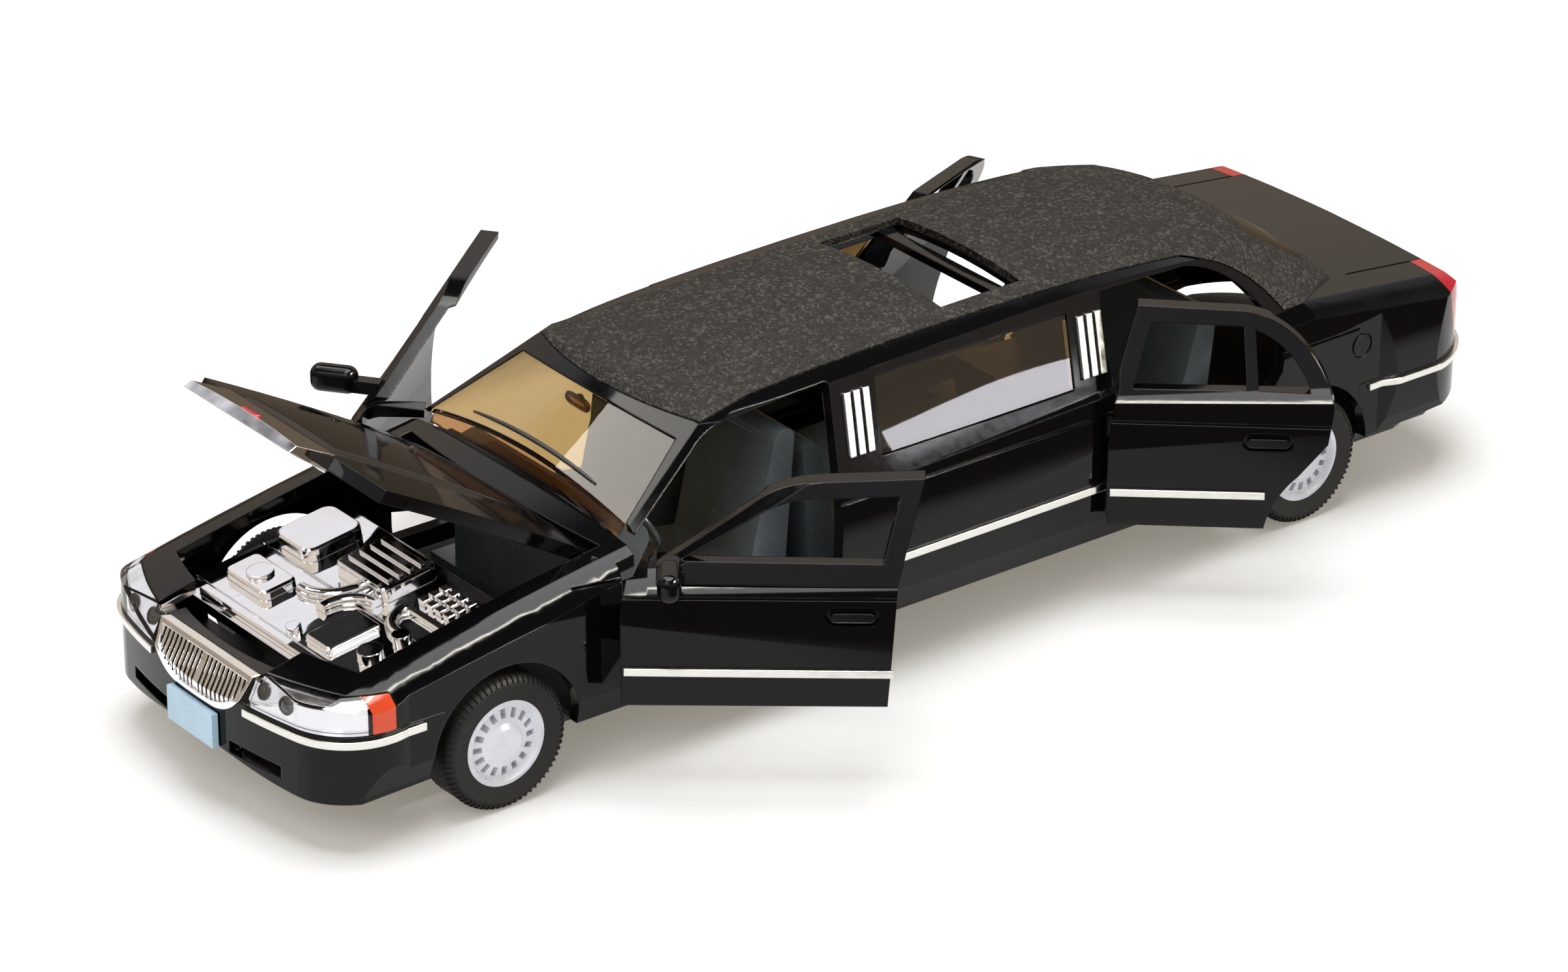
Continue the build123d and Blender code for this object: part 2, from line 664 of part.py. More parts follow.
def roof_cover_space(grow):
    """The roof cover: a strip along the roof that widens into the rear pillars."""
    pillar = ROOF_PILLAR_X + grow
    back = REAR_AXLE_X - 33.2
    strip = plan_prism(outline([
        (ROOF_FRONT_X + grow, -ROOF_SEAM_Y - 1.1 - grow),
        (ROOF_FRONT_X + ROOF_BOW + grow, 0.0, "via"),
        (ROOF_FRONT_X + grow, ROOF_SEAM_Y + 1.1 + grow),
        (ROOF_FRONT_X - 8.0, ROOF_SEAM_Y + grow),
        ((ROOF_FRONT_X + pillar) / 2, ROOF_SEAM_Y - 0.1 + grow, "via"),
        (pillar - 1.0, ROOF_SEAM_Y + 0.9 + grow),
        (back, ROOF_SEAM_Y + 0.9 + grow),
        (back, -ROOF_SEAM_Y - 0.9 - grow),
        (pillar - 1.0, -ROOF_SEAM_Y - 0.9 - grow),
        ((ROOF_FRONT_X + pillar) / 2, -ROOF_SEAM_Y + 0.1 - grow, "via"),
        (ROOF_FRONT_X - 8.0, -ROOF_SEAM_Y - grow),
    ]), ROOF_PILLAR_LOW_Z - grow, REACH)
    pillars = side_prism(outline([
        (pillar, REACH),
        (pillar, REAR_DOOR_TOP_Z + 0.9 - grow),
        (pillar - 9.2, 33.2, "via"),
        (pillar - 13.8, ROOF_PILLAR_LOW_Z - grow),
        (back, ROOF_PILLAR_LOW_Z - grow),
        (back, REACH),
    ]), -REACH, REACH)
    return strip + pillars


def windscreen_face(grow):
    """The windscreen seen from the front."""
    return outline([
        (-HALF_WIDTH + 4.8 - grow, 26.6 - grow),
        (0.0, 27.2 - grow, "via"),
        (HALF_WIDTH - 4.8 + grow, 26.6 - grow),
        (HALF_WIDTH - 9.5 + grow, 33.6 + grow),
        (0.0, 34.5 + grow, "via"),
        (-HALF_WIDTH + 9.5 - grow, 33.6 + grow),
    ])


def backlight_face(grow):
    """The rear window seen from behind."""
    return outline([
        (-HALF_WIDTH + 9.8 - grow, 28.9 - grow),
        (HALF_WIDTH - 9.8 + grow, 28.9 - grow),
        (HALF_WIDTH - 12.6 + grow, 33.9 + grow),
        (-HALF_WIDTH + 12.6 - grow, 33.9 + grow),
    ])


def side_window_face(grow):
    """The long window in the middle of each side."""
    low = WINDOW_LOW_Z - grow
    high = SIDE_WINDOW_HIGH_Z + grow
    front = SIDE_WINDOW_FRONT_X + grow
    rear = SIDE_WINDOW_REAR_X - grow
    return outline([lean(front, low), lean(front, high), lean(rear, high), lean(rear, low)])


def sunroof_box(shrink):
    return block(SUNROOF_REAR_X + shrink, SUNROOF_FRONT_X - shrink, -SUNROOF_HALF + shrink,
                 SUNROOF_HALF - shrink, 30.0, REACH)


def windscreen_space(grow):
    return front_prism(windscreen_face(grow), ROOF_FRONT_X - 9.0, REACH)


def backlight_space(grow):
    return front_prism(backlight_face(grow), -REACH, ROOF_PILLAR_X)


def side_window_space(grow):
    return side_prism(side_window_face(grow), DOOR_INNER_Y - 1.0, REACH)


# Body shell


def fuel_door_ring():
    """The round shut line of the fuel filler's door, on the left side."""
    ring = Circle(FUEL_DOOR_R) - Circle(FUEL_DOOR_R - GROOVE_WIDE)
    return side_prism(Pos(REAR_AXLE_X - 8.5, FUEL_DOOR_Z) * ring, HALF_WIDTH - 6.0, REACH)


def body_shell():
    """The die-cast body with every opening cut and the hinge ears added."""
    shell = SKIN
    for name, face, window, nose, tail, grip, pin, arm, low, high, rest_left, rest_right in DOORS:
        opening = door_space(offset(face, amount=DOOR_GAP))
        opening -= post(*pin, 0.0, REAR_DOOR_TOP_Z + 1.0, arm - HINGE_GAP)
        shell -= both_sides(opening)
        shell += both_sides(hinge_ears(pin, low, high))
    shell -= plan_prism(bonnet_face(BONNET_GAP, COWL_GAP, COWL_GAP_MID), 17.0, REACH)
    shell -= header_space()
    shell += bonnet_ears()
    shell -= both_sides(bonnet_pin(BONNET_PIN_R + PIN_CLEARANCE, BONNET_PIN_LONG + EAR_GAP))
    shell -= arch_cut(FRONT_AXLE_X) + arch_cut(REAR_AXLE_X)
    shell -= bumper_box(SEAT_GAP) + rear_bumper_box(SEAT_GAP)
    shell -= both_sides(lamp_box(SEAT_GAP)) + both_sides(tail_lamp_box(SEAT_GAP))
    shell -= front_prism(grille_face(-SEAT_GAP), BONNET_FRONT_X - 2.0, REACH * 2)
    shell -= roof_cover_space(SEAT_GAP) - cabin_form(ROOF_THICK + SEAT_GAP)
    shell -= sunroof_box(0.0)
    shell -= backlight_space(0.0)
    shell -= windscreen_space(0.0)
    shell -= GROOVE_FORM & fuel_door_ring()
    shell -= both_sides(side_window_space(0.0))
    return shell


parts = {}
SHELL = body_shell()
parts["body_shell"] = SHELL

cover = (cabin_form(-ROOF_PROUD) - cabin_form(ROOF_THICK)) & roof_cover_space(0.0)
cover -= lower_form(-SEAT_GAP, BODY_LOW_Z)
parts["roof_cover"] = cover - backlight_space(0.0) - sunroof_box(0.0)
bar = block(SUNROOF_REAR_X + 1.4, SUNROOF_REAR_X + 3.2, -SUNROOF_HALF, SUNROOF_HALF, 35.6, 36.6)
parts["sunroof_bar"] = bar

glass = cabin_form(GLASS_SINK) - cabin_form(GLASS_SINK + GLASS_THICK)
parts["windscreen"] = glass & windscreen_space(-GLASS_GAP)
parts["rear_window"] = glass & backlight_space(-GLASS_GAP)
left_window = glass & side_window_space(-GLASS_GAP)
parts["side_window_left"] = left_window
parts["side_window_right"] = mirror(left_window, about=Plane.XZ)

for name, face, window, nose, tail, grip, pin, arm, low, high, rest_left, rest_right in DOORS:
    panel = with_handle(door_panel(face, window, pin, arm, low, high), grip)
    if name == "door_front":
        panel += wing_mirror()
    strip = TRIM_FORM & block(tail + 0.4, nose - 0.4, 0.0, REACH, STRIP_Z - 0.45, STRIP_Z + 0.45)
    parts[f"{name}_left"] = opened(panel, pin, rest_left)
    parts[f"{name}_right"] = mirror(opened(panel, pin, rest_right), about=Plane.XZ)
    parts[f"{name}_strip_left"] = opened(strip, pin, rest_left)
    parts[f"{name}_strip_right"] = mirror(opened(strip, pin, rest_right), about=Plane.XZ)

parts["bonnet"] = raised(bonnet_panel())
header = lower_form(-HEADER_PROUD, BODY_LOW_Z)
header = header & block(BONNET_FRONT_X - 4.0, NOSE_X + 2.0, -HEADER_HALF, HEADER_HALF, GRILLE_TOP_Z + 0.15, 30.0)
header -= plan_prism(bonnet_face(SEAT_GAP, 0.0, 0.0), 10.0, REACH)
parts["bonnet_header"] = raised(header)

parts["grille"] = grille_piece()
backing = lower_form(0.9, BELOW_GROUND) - INNER_LOWER
parts["grille_backing"] = backing & front_prism(grille_face(0.0), BONNET_FRONT_X - 2.0, REACH * 2)

lens_form = OUTER_LOWER - lower_form(0.7, BELOW_GROUND)
reflector_form = lower_form(0.75, BELOW_GROUND) - INNER_LOWER
bonnet_space = plan_prism(bonnet_face(BONNET_GAP, 0.0, 0.0), 0.0, REACH)
signal_box = block(LAMP_REAR_X - 1.0, LAMP_REAR_X + SIGNAL_LONG, 0.0, REACH, 0.0, REACH)
signal_seat = block(LAMP_REAR_X - 1.0, LAMP_REAR_X + SIGNAL_LONG + SEAT_GAP, 0.0, REACH, 0.0, REACH)
parts["headlamp_lenses"] = both_sides((lens_form & lamp_box(0.0)) - signal_seat) - header_space() - bonnet_space
parts["signal_lenses"] = both_sides(lens_form & lamp_box(0.0) & signal_box)
parts["headlamp_reflectors"] = both_sides(reflector_form & lamp_box(0.0)) - header_space() - bonnet_space
parts["tail_lamps"] = both_sides((OUTER_LOWER - lower_form(1.2, BELOW_GROUND)) & tail_lamp_box(0.0))

bumper = (SKIN_LOWER & bumper_box(0.0)) - arch_cut(FRONT_AXLE_X)
for side in (-1, 1):
    bumper -= Pos(NOSE_X - 3.0, side * 10.6, 8.7) * Box(12.0, 8.6, 1.5)
parts["front_bumper"] = bumper - front_prism(grille_face(-SEAT_GAP), BONNET_FRONT_X - 2.0, REACH * 2)
parts["rear_bumper"] = (SKIN_LOWER & rear_bumper_box(0.0)) - arch_cut(REAR_AXLE_X)
front_strip = TRIM_FORM & block(FRONT_AXLE_X + ARCH_R + 1.1, NOSE_X + 2.0, GRILLE_HALF, REACH, 13.7, 14.6)
rear_strip = TRIM_FORM & block(TAIL_X - 2.0, REAR_AXLE_X - ARCH_R, 0.0, REACH, 14.9, 15.7)
parts["front_bumper_strips"] = both_sides(front_strip)
parts["rear_bumper_strip"] = both_sides(rear_strip)
middle_strip = TRIM_FORM & block(REAR_DOOR_NOSE_X + 0.5, FRONT_DOOR_TAIL_X - 0.5, 0.0, REACH,
                                 STRIP_Z - 0.45, STRIP_Z + 0.45)
parts["side_strips"] = both_sides(middle_strip)
plate_back = NOSE_X + TRIM_GAP
parts["number_plate"] = block(plate_back, plate_back + PLATE_THICK, -4.6, 4.6, 7.9, 12.1)

bar_form = cabin_form(-0.5) - cabin_form(-TRIM_GAP)
bars = Part()
BAR_PITCH = 1.35
BAR_HALF = 0.42
for edge in (SIDE_WINDOW_FRONT_X + 1.7, REAR_DOOR_NOSE_X + 1.3):
    for index in range(3):
        rear = edge + index * BAR_PITCH - BAR_HALF
        front = rear + 2 * BAR_HALF
        face = outline([lean(rear, 28.2), lean(front, 28.2), lean(front, 34.4), lean(rear, 34.4)])
        bars += bar_form & side_prism(face, DOOR_INNER_Y, REACH)
parts["pillar_bars"] = both_sides(bars)

# Cabin fittings

floor_top = FLOOR_Z + FLOOR_THICK
floor = block(REAR_AXLE_X + 5.3, FRONT_AXLE_X - 19.0, -FLOOR_HALF, FLOOR_HALF, FLOOR_Z, floor_top)
rear_wheel_room = block(REAR_AXLE_X - 3.2, REAR_AXLE_X + 10.8, ARCH_INNER_Y - 0.9, REACH, 0.0, REACH)
rear_hinge_room = block(REAR_DOOR_NOSE_X - 5.0, REAR_DOOR_NOSE_X + 8.0, ARCH_INNER_Y - 1.1, REACH, 0.0, REACH)
floor -= both_sides(rear_wheel_room + rear_hinge_room)
BULKHEAD_X = FRONT_AXLE_X - 21.0
BULKHEAD_THICK = 1.4
BULKHEAD_TOP_Z = 22.0
bulkhead = block(BULKHEAD_X, BULKHEAD_X + BULKHEAD_THICK, -SEAT_HALF + 0.8, SEAT_HALF - 0.8, floor_top, BULKHEAD_TOP_Z)
parts["cabin_floor"] = floor + bulkhead
SEAT_Z = floor_top + SEAT_GAP


def seat(base_x, way, rows):
    """The side outline of a seat that faces way, from rows of (distance ahead of its base, height)."""
    return outline([(base_x + way * row[0], *row[1:]) for row in rows])


front_seat = seat(FRONT_AXLE_X - 44.2, 1, [
    (14.0, SEAT_Z), (14.8, 14.6), (14.2, 15.9, "via"), (12.8, 16.1), (4.8, 15.0), (1.4, 29.6),
    (0.2, 31.2, "via"), (-1.6, 30.2), (0.0, SEAT_Z)])
parts["front_seats"] = both_sides(side_prism(front_seat, 2.0, SEAT_HALF + 1.2))
middle_bench = seat(FRONT_DOOR_TAIL_X - 2.4, -1, [
    (0.0, SEAT_Z), (-1.2, 26.2), (-0.4, 27.4, "via"), (1.2, 27.0), (3.8, 14.2), (12.4, 14.4), (11.8, SEAT_Z)])
parts["middle_bench"] = side_prism(middle_bench, -SEAT_HALF, SEAT_HALF)
rear_bench = seat(REAR_AXLE_X + 9.8, 1, [
    (0.0, SEAT_Z), (-2.0, 26.6), (-1.0, 27.9, "via"), (0.6, 27.4), (4.4, 14.2), (14.2, 14.6), (13.6, SEAT_Z)])
parts["rear_bench"] = side_prism(rear_bench, -SEAT_HALF, SEAT_HALF)
dash_x = BULKHEAD_X + BULKHEAD_THICK
dash_low = BULKHEAD_TOP_Z + SEAT_GAP
dash = outline([
    (dash_x, dash_low), (dash_x, 24.4), (dash_x - 3.8, 25.2), (dash_x - 5.5, 24.2, "via"), (dash_x - 5.8, 22.2),
    (dash_x - 3.6, 18.6), (BULKHEAD_X - SEAT_GAP, 18.6), (BULKHEAD_X - SEAT_GAP, dash_low)])
parts["dashboard"] = side_prism(dash, -DASH_HALF, DASH_HALF)
wheel_place = Pos(BULKHEAD_X - 7.6, 9.4, 21.2) * Rot(0, -62.0, 0)
rim = Torus(3.3, 0.4)
spokes = Box(6.4, 0.8, 0.5) + Box(0.8, 6.4, 0.5)
column = Pos(0, 0, -1.9) * Cylinder(0.6, 3.8)
parts["steering_wheel"] = wheel_place * (rim + spokes + column)

# Engine bay insert

INSERT_LONG = 23.0
INSERT_HALF = BONNET_HALF - 1.5
INSERT_THICK = 1.4
INSERT_SLOPE_DEG = 8.4
INSERT_FRONT_X = BONNET_FRONT_X - 1.9
INSERT_FRONT_Z = 16.9
insert_place = Pos(INSERT_FRONT_X, 0.0, INSERT_FRONT_Z) * Rot(0, INSERT_SLOPE_DEG, 0)


def raised_box(back, front, right, left, tall, corner):
    """A box on the insert's plate, with its upright corners and its top edges rounded."""
    box = block(-back, -front, right, left, -0.2, tall)
    box = fillet(box.edges().filter_by(Axis.Z), corner)
    return chamfer(box.faces().sort_by(Axis.Z)[-1].edges(), 0.25)


def hose(back, right, radius, turn_deg):
    """A quarter bend of hose that lies on the plate."""
    bend = Torus(radius, HOSE_R, major_angle=100.0)
    return Pos(-back, right, HOSE_R * 0.5) * Rot(0, 0, turn_deg) * bend


HOSE_R = 0.75
insert = block(-INSERT_LONG, 0.0, -INSERT_HALF, INSERT_HALF, -INSERT_THICK, 0.0)
# Columns: back edge, front edge, right edge, left edge, height, corner radius
for row in (
    (21.5, 13.6, -4.6, 5.2, 1.9, 1.2),
    (20.8, 12.6, -15.6, -8.4, 1.7, 1.6),
    (9.4, 4.6, -13.8, -5.6, 1.2, 0.9),
    (10.6, 3.4, 4.4, 9.2, 0.9, 0.5),
    (2.0, 0.6, -13.0, 13.0, 0.9, 0.4),
    (20.6, 14.4, 8.2, 15.4, 0.7, 0.6),
):
    insert += raised_box(*row)
for line in range(3):
    for place in range(4):
        insert += block(-19.9 + 1.45 * line, -18.9 + 1.45 * line, 8.9 + 1.6 * place, 10.0 + 1.6 * place, 0.5, 1.5)
for rib in range(5):
    insert += block(-20.4 + 1.5 * rib, -19.7 + 1.5 * rib, -3.6, 4.2, 1.7, 2.25)
# Columns: distance back, across, radius, height
for back, across, radius, tall in ((6.4, 13.2, 1.5, 1.3), (10.4, 13.6, 1.1, 1.6), (7.0, -9.6, 1.6, 1.6), (3.6, 2.0, 0.9, 0.9)):
    insert += post(-back, across, -0.2, tall, radius)
insert += hose(11.6, -1.6, 5.0, 0.0)
insert += hose(10.8, 2.4, 4.2, 180.0)
insert += hose(12.4, 9.8, 3.4, 270.0)
for back in (11.9, 2.6):
    insert -= block(-back, -back + 0.4, -INSERT_HALF, INSERT_HALF, -0.4, 0.0 + 0.01)
insert = insert_place * insert
legs = block(FRONT_AXLE_X + 4.0, FRONT_AXLE_X + 8.0, INSERT_HALF - 4.0, INSERT_HALF - 1.0, CHASSIS_TOP_Z + SEAT_GAP, 17.0)
parts["engine_insert"] = insert + both_sides(legs)

# Chassis

chassis = lower_form(WALL + 0.15, BELOW_GROUND) & block(-100, 100, -REACH, REACH, CHASSIS_RIM_Z, CHASSIS_TOP_Z)
chassis += lower_form(CHASSIS_INSET, BELOW_GROUND) & block(-100, 100, -REACH, REACH, CHASSIS_LOW_Z, CHASSIS_RIM_Z)
for axle_x in (FRONT_AXLE_X, REAR_AXLE_X):
    chassis -= both_sides(block(axle_x - ARCH_R, axle_x + ARCH_R, 16.6, REACH, 0.0, 30.0))
    chassis += both_sides(block(axle_x - 2.4, axle_x + 2.4, 12.4, 16.4, CHASSIS_LOW_Z, TYRE_R + 2.0))
    chassis -= block(axle_x - 1.6, axle_x + 1.6, -12.4, 12.4, 0.0, 30.0)
    chassis -= cross_rod(axle_x, TYRE_R, -REACH, REACH, AXLE_R + AXLE_CLEARANCE)
for screw_x in (SCREW_X, -SCREW_X):
    chassis -= post(screw_x, 0.0, 0.0, CHASSIS_TOP_Z + 1.0, SCREW_R)
parts["chassis"] = chassis

# Wheels


def wheel():
    """A wheel with its outer face at Y = 0 and its bore along Y, towards the car at negative Y."""
    half = outline([
        (AXLE_R + 0.02, -TYRE_WIDTH + 0.6), (RIM_R, -TYRE_WIDTH + 0.6), (RIM_R, -0.3), (RIM_R - 0.5, -0.2),
        (RIM_R - 0.9, -0.9), (2.4, -0.5), (1.9, 0.0), (0.0, 0.0), (0.0, -1.2), (AXLE_R + 0.02, -1.2)])
    solid = revolve(half, Axis.Y)
    for index in range(RIM_SLOTS):
        angle = index * 360.0 / RIM_SLOTS
        solid -= Rot(0, angle, 0) * Pos(3.55, -0.9, 0.0) * Box(1.1, 1.6, 0.7)
    return solid


def tyre():
    half = outline([
        (RIM_R + 0.02, -TYRE_WIDTH + 0.5), (TYRE_R - 1.0, -TYRE_WIDTH), (TYRE_R - 0.3, -TYRE_WIDTH + 0.4, "via"),
        (TYRE_R, -TYRE_WIDTH + 1.1), (TYRE_R, -1.1), (TYRE_R - 0.3, -0.4, "via"), (TYRE_R - 1.0, 0.0),
        (RIM_R + 0.02, -0.3)])
    return revolve(half, Axis.Y)


WHEEL = wheel()
TYRE = tyre()
for end, axle_x in (("front", FRONT_AXLE_X), ("rear", REAR_AXLE_X)):
    reach = WHEEL_FACE_Y - 1.25
    parts[f"{end}_axle"] = cross_rod(axle_x, TYRE_R, -reach, reach, AXLE_R)
    place = Pos(axle_x, WHEEL_FACE_Y, TYRE_R)
    for piece, shape in (("wheel", WHEEL), ("tyre", TYRE)):
        left = place * shape
        parts[f"{end}_{piece}_left"] = left
        parts[f"{end}_{piece}_right"] = mirror(left, about=Plane.XZ)

os.makedirs("parts", exist_ok=True)
for name, shape in parts.items():
    export_step(shape, f"parts/{name}.step")
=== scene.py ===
import json
import math

import bmesh
import bpy
from mathutils import Matrix, Vector
from mathutils.bvhtree import BVHTree


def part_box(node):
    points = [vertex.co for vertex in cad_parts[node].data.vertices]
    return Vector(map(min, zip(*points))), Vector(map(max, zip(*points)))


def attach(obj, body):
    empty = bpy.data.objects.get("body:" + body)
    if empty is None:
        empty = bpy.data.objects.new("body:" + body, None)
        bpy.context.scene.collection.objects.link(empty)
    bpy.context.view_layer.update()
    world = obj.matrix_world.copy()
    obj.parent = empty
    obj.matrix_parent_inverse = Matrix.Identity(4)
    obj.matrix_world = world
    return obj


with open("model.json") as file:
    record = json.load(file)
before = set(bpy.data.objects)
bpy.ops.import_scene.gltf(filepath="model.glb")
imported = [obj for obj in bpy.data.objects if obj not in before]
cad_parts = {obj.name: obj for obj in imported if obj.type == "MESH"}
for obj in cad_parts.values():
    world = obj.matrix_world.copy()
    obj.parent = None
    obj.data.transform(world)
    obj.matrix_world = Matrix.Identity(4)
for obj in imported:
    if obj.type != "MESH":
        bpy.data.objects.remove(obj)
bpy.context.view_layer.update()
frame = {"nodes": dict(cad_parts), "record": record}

NODES = frame["nodes"]
MM = 0.001
ALONG_X = Vector((1.0, 0.0, 0.0))
ALONG_Y = Vector((0.0, 1.0, 0.0))
UP = Vector((0.0, 0.0, 1.0))

# Camera of the photograph, solved from the car's own lines
CAMERA_EYE = Vector((407.8, 520.4, 337.7)) * MM
CAMERA_LOOK = Vector((-0.549202, -0.709496, -0.441580))
CAMERA_ROLL_DEG = 0.28
CAMERA_LENS = 142.28
CAMERA_SENSOR = 36.0

# Ground and sky, in metres
PLAIN_WHITE = (1.0, 1.0, 1.0, 1.0)
FLOOR_SIZE = 6.0
FLOOR_Z = -0.00005
FLOOR_COLOUR = (0.95, 0.97, 1.0, 1.0)
FLOOR_GLOW = (1.0, 0.93, 0.78, 1.0)
FLOOR_GLOW_SHARE = 0.22
# Distances from the car over which the seen floor goes to plain white
FLOOR_FADE = (0.18, 0.42)
# Past this half length and half width the ground that gloss mirrors is brown
GROUND_HALF = (0.150, 0.074)
GROUND_FADE = 0.018
GROUND_BEYOND = (0.13, 0.10, 0.07, 1.0)
# Columns: sine of the height above the horizon, and the sky's colour there
SKY_STOPS = [
    (0.0, (0.30, 0.24, 0.18, 1.0)),
    (0.42, (0.80, 0.68, 0.56, 1.0)),
    (0.60, (0.87, 0.87, 0.92, 1.0)),
    (0.68, (0.06, 0.057, 0.054, 1.0)),
]

# Lamps, in metres and watts
# Columns: name, place, aim, size along and across, watts, colour
LAMPS = [
    ("key", (0.02, -0.03, 0.76), (0.0, 0.0, 0.0), (0.60, 0.46), 5.7, (1.0, 1.0, 1.0)),
    ("fill", (0.55, 0.30, 0.62), (0.0, 0.0, 0.02), (0.40, 0.40), 1.6, (1.0, 1.0, 1.0)),
]
# Cards that only glossy surfaces mirror, with the same columns
CARDS = [
    ("strip", (-0.30, 0.50, 0.56), (0.0, 0.0, 0.02), (0.40, 0.035), 16.0, (1.0, 0.95, 0.80)),
    ("overhead_line", (0.02, 0.10, 0.72), (0.02, 0.10, 0.0), (0.80, 0.03), 3.6, (1.0, 0.96, 0.84)),
    ("back_card", (0.161, -0.388, 0.711), (0.03, 0.0, 0.03), (0.40, 0.30), 2.9, (1.0, 0.96, 0.90)),
    ("window_card", (-0.103, 0.137, 0.0922), (-0.103, 0.0, 0.0922), (0.042, 0.0058), 0.011,
     (0.93, 0.93, 1.0)),
]

# Making of the small pieces; places and sizes are in millimetres
SHARP_DEG = 40.0
BAR_AROUND = 10
RAY_ABOVE = 60.0
RAY_AHEAD = 100.0

# Wiper; shares are of its own size
WIPER_X = 40.9
WIPER_ENDS_Y = (-12.0, 11.7)
WIPER_WIDTH = 0.62
WIPER_HEIGHT = 0.45
WIPER_SEAT_SHARE = 0.3
WIPER_END_SHARE = 0.3
WIPER_TIP = 0.04
WIPER_FULLNESS = 0.6
WIPER_STEPS = 17

# Foot of the windscreen
SCREEN_EDGE_NEAR = 0.1
SCREEN_FOOT_LAP = 0.25
SCREEN_FOOT_INSET = 1.0
SCREEN_FOOT_FORWARD = 0.9
SCREEN_FOOT_SUNK = 0.05
SCREEN_FOOT_DROP = 1.2
SCREEN_FOOT_THICK = 0.4
SCREEN_FOOT_STEPS = 31

# Inside mirror
MIRROR_CENTRE = (33.6, -1.6, 32.3)
MIRROR_SIZE = (0.9, 4.4, 1.7)
MIRROR_END_SHARE = 0.1
MIRROR_STEPS = 15
MIRROR_AROUND = 16
MIRROR_STEM_Y = -0.6
MIRROR_STEM_START = 0.4
MIRROR_STEM_WAY = (0.45, 0.0, 0.89)
MIRROR_STEM_THICK = 0.5
# Columns: share of the way to the glass, and width there
MIRROR_STEM_WIDTHS = [(0.0, 0.55), (0.3, 0.45), (0.6, 0.5), (0.9, 0.8), (1.0, 1.1)]

# Bulb cups in the headlamps
BULB_Z = 17.0
BULB_YS = (11.3, 15.4)
BULB_R = 1.05
BULB_AROUND = 20
# Columns: radius and height of the cup's section, as shares of its radius
BULB_CUP = [(1.0, -0.1), (1.0, 0.22), (0.78, 0.26), (0.62, 0.05), (0.34, 0.05), (0.30, 0.20), (0.14, 0.30)]

# Bonnet at rest, and the red bar on its header, placed as if the bonnet were closed
BONNET_HINGE = (47.2, 24.6)
BONNET_OPEN_DEG = 40.0
MARK_CLOSED = (84.2, 0.0, 19.6)
MARK_FACING = (0.9, 0.0, 0.44)
MARK_RAY_OFF = 5.0
MARK_WIDTH = 3.2
MARK_HEIGHT = 1.2
MARK_THICK = 0.36
MARK_END_SHARE = 0.2
MARK_STEPS = 11

# Ribs on the tyres' shoulders; the bend runs from the side face, in quarter turns
TREAD_RIBS = 66
TREAD_RIB_WIDTH = 0.30
TREAD_RIB_PROUD = 0.16
TREAD_RIB_SUNK = 0.1
TREAD_CREST_SHARE = 0.7
TREAD_BEND_START = 0.22
TREAD_BEND_SPAN = 0.76
TREAD_STEPS = 5
SHOULDER_DEEP = 1.0
SHOULDER_WIDE = 1.1

# Raised middle of the bonnet, placed as if the bonnet were closed
PANEL_ENDS_X = (50.4, 79.6)
PANEL_HALF_WIDTHS = (12.6, 9.6)
PANEL_RAY_Z = 40.0
PANEL_RISE = 0.40
PANEL_EDGE_SUNK = 0.04
PANEL_SUNK = 0.12
PANEL_SLOPE_SHARE = 0.16
PANEL_END_SHARE = 0.035
PANEL_STEPS = 41


def look_at(obj, target, roll_deg=0.0):
    """Turns an object's -Z towards a point, then rolls it about that line."""
    way = Vector(target) - obj.location
    turn = way.to_track_quat("-Z", "Y").to_matrix().to_4x4()
    roll = Matrix.Rotation(math.radians(roll_deg), 4, "Z")
    obj.matrix_world = Matrix.Translation(obj.location) @ turn @ roll


def make_camera():
    data = bpy.data.cameras.new("camera")
    data.lens = CAMERA_LENS
    data.sensor_width = CAMERA_SENSOR
    camera = bpy.data.objects.new("camera", data)
    bpy.context.scene.collection.objects.link(camera)
    camera.location = CAMERA_EYE
    look_at(camera, CAMERA_EYE + CAMERA_LOOK, CAMERA_ROLL_DEG)
    bpy.context.scene.camera = camera


def new_material(name):
    material = bpy.data.materials.new(name)
    material.use_nodes = True
    tree = material.node_tree
    shader = tree.nodes["Principled BSDF"]
    return material, tree, shader


def object_coords(tree):
    """The part's own coordinates, in metres."""
    return tree.nodes.new("ShaderNodeTexCoord").outputs["Object"]


def noise_node(tree, scale, detail=4.0, roughness=0.55):
    """Noise laid in the part's own coordinates, with scale in cycles a metre."""
    noise = tree.nodes.new("ShaderNodeTexNoise")
    noise.inputs["Scale"].default_value = scale
    noise.inputs["Detail"].default_value = detail
    noise.inputs["Roughness"].default_value = roughness
    tree.links.new(object_coords(tree), noise.inputs["Vector"])
    return noise.outputs["Fac"]


def ramp_node(tree, source, stops):
    """A colour ramp on a value; stops are rows of (position, grey or colour)."""
    ramp = tree.nodes.new("ShaderNodeValToRGB")
    elements = ramp.color_ramp.elements
    while len(elements) < len(stops):
        elements.new(0.5)
    for element, (position, colour) in zip(elements, stops):
        element.position = position
        if isinstance(colour, float):
            colour = (colour, colour, colour, 1.0)
        element.color = colour
    tree.links.new(source, ramp.inputs["Fac"])
    return ramp.outputs["Color"]


def math_node(tree, operation, *sources):
    """The result of a Math node on one or two values."""
    node = tree.nodes.new("ShaderNodeMath")
    node.operation = operation
    for socket, source in zip(node.inputs, sources):
        tree.links.new(source, socket)
    return node.outputs["Value"]


def split_node(tree, source):
    """The X, Y and Z of a vector."""
    split = tree.nodes.new("ShaderNodeSeparateXYZ")
    tree.links.new(source, split.inputs["Vector"])
    return split.outputs


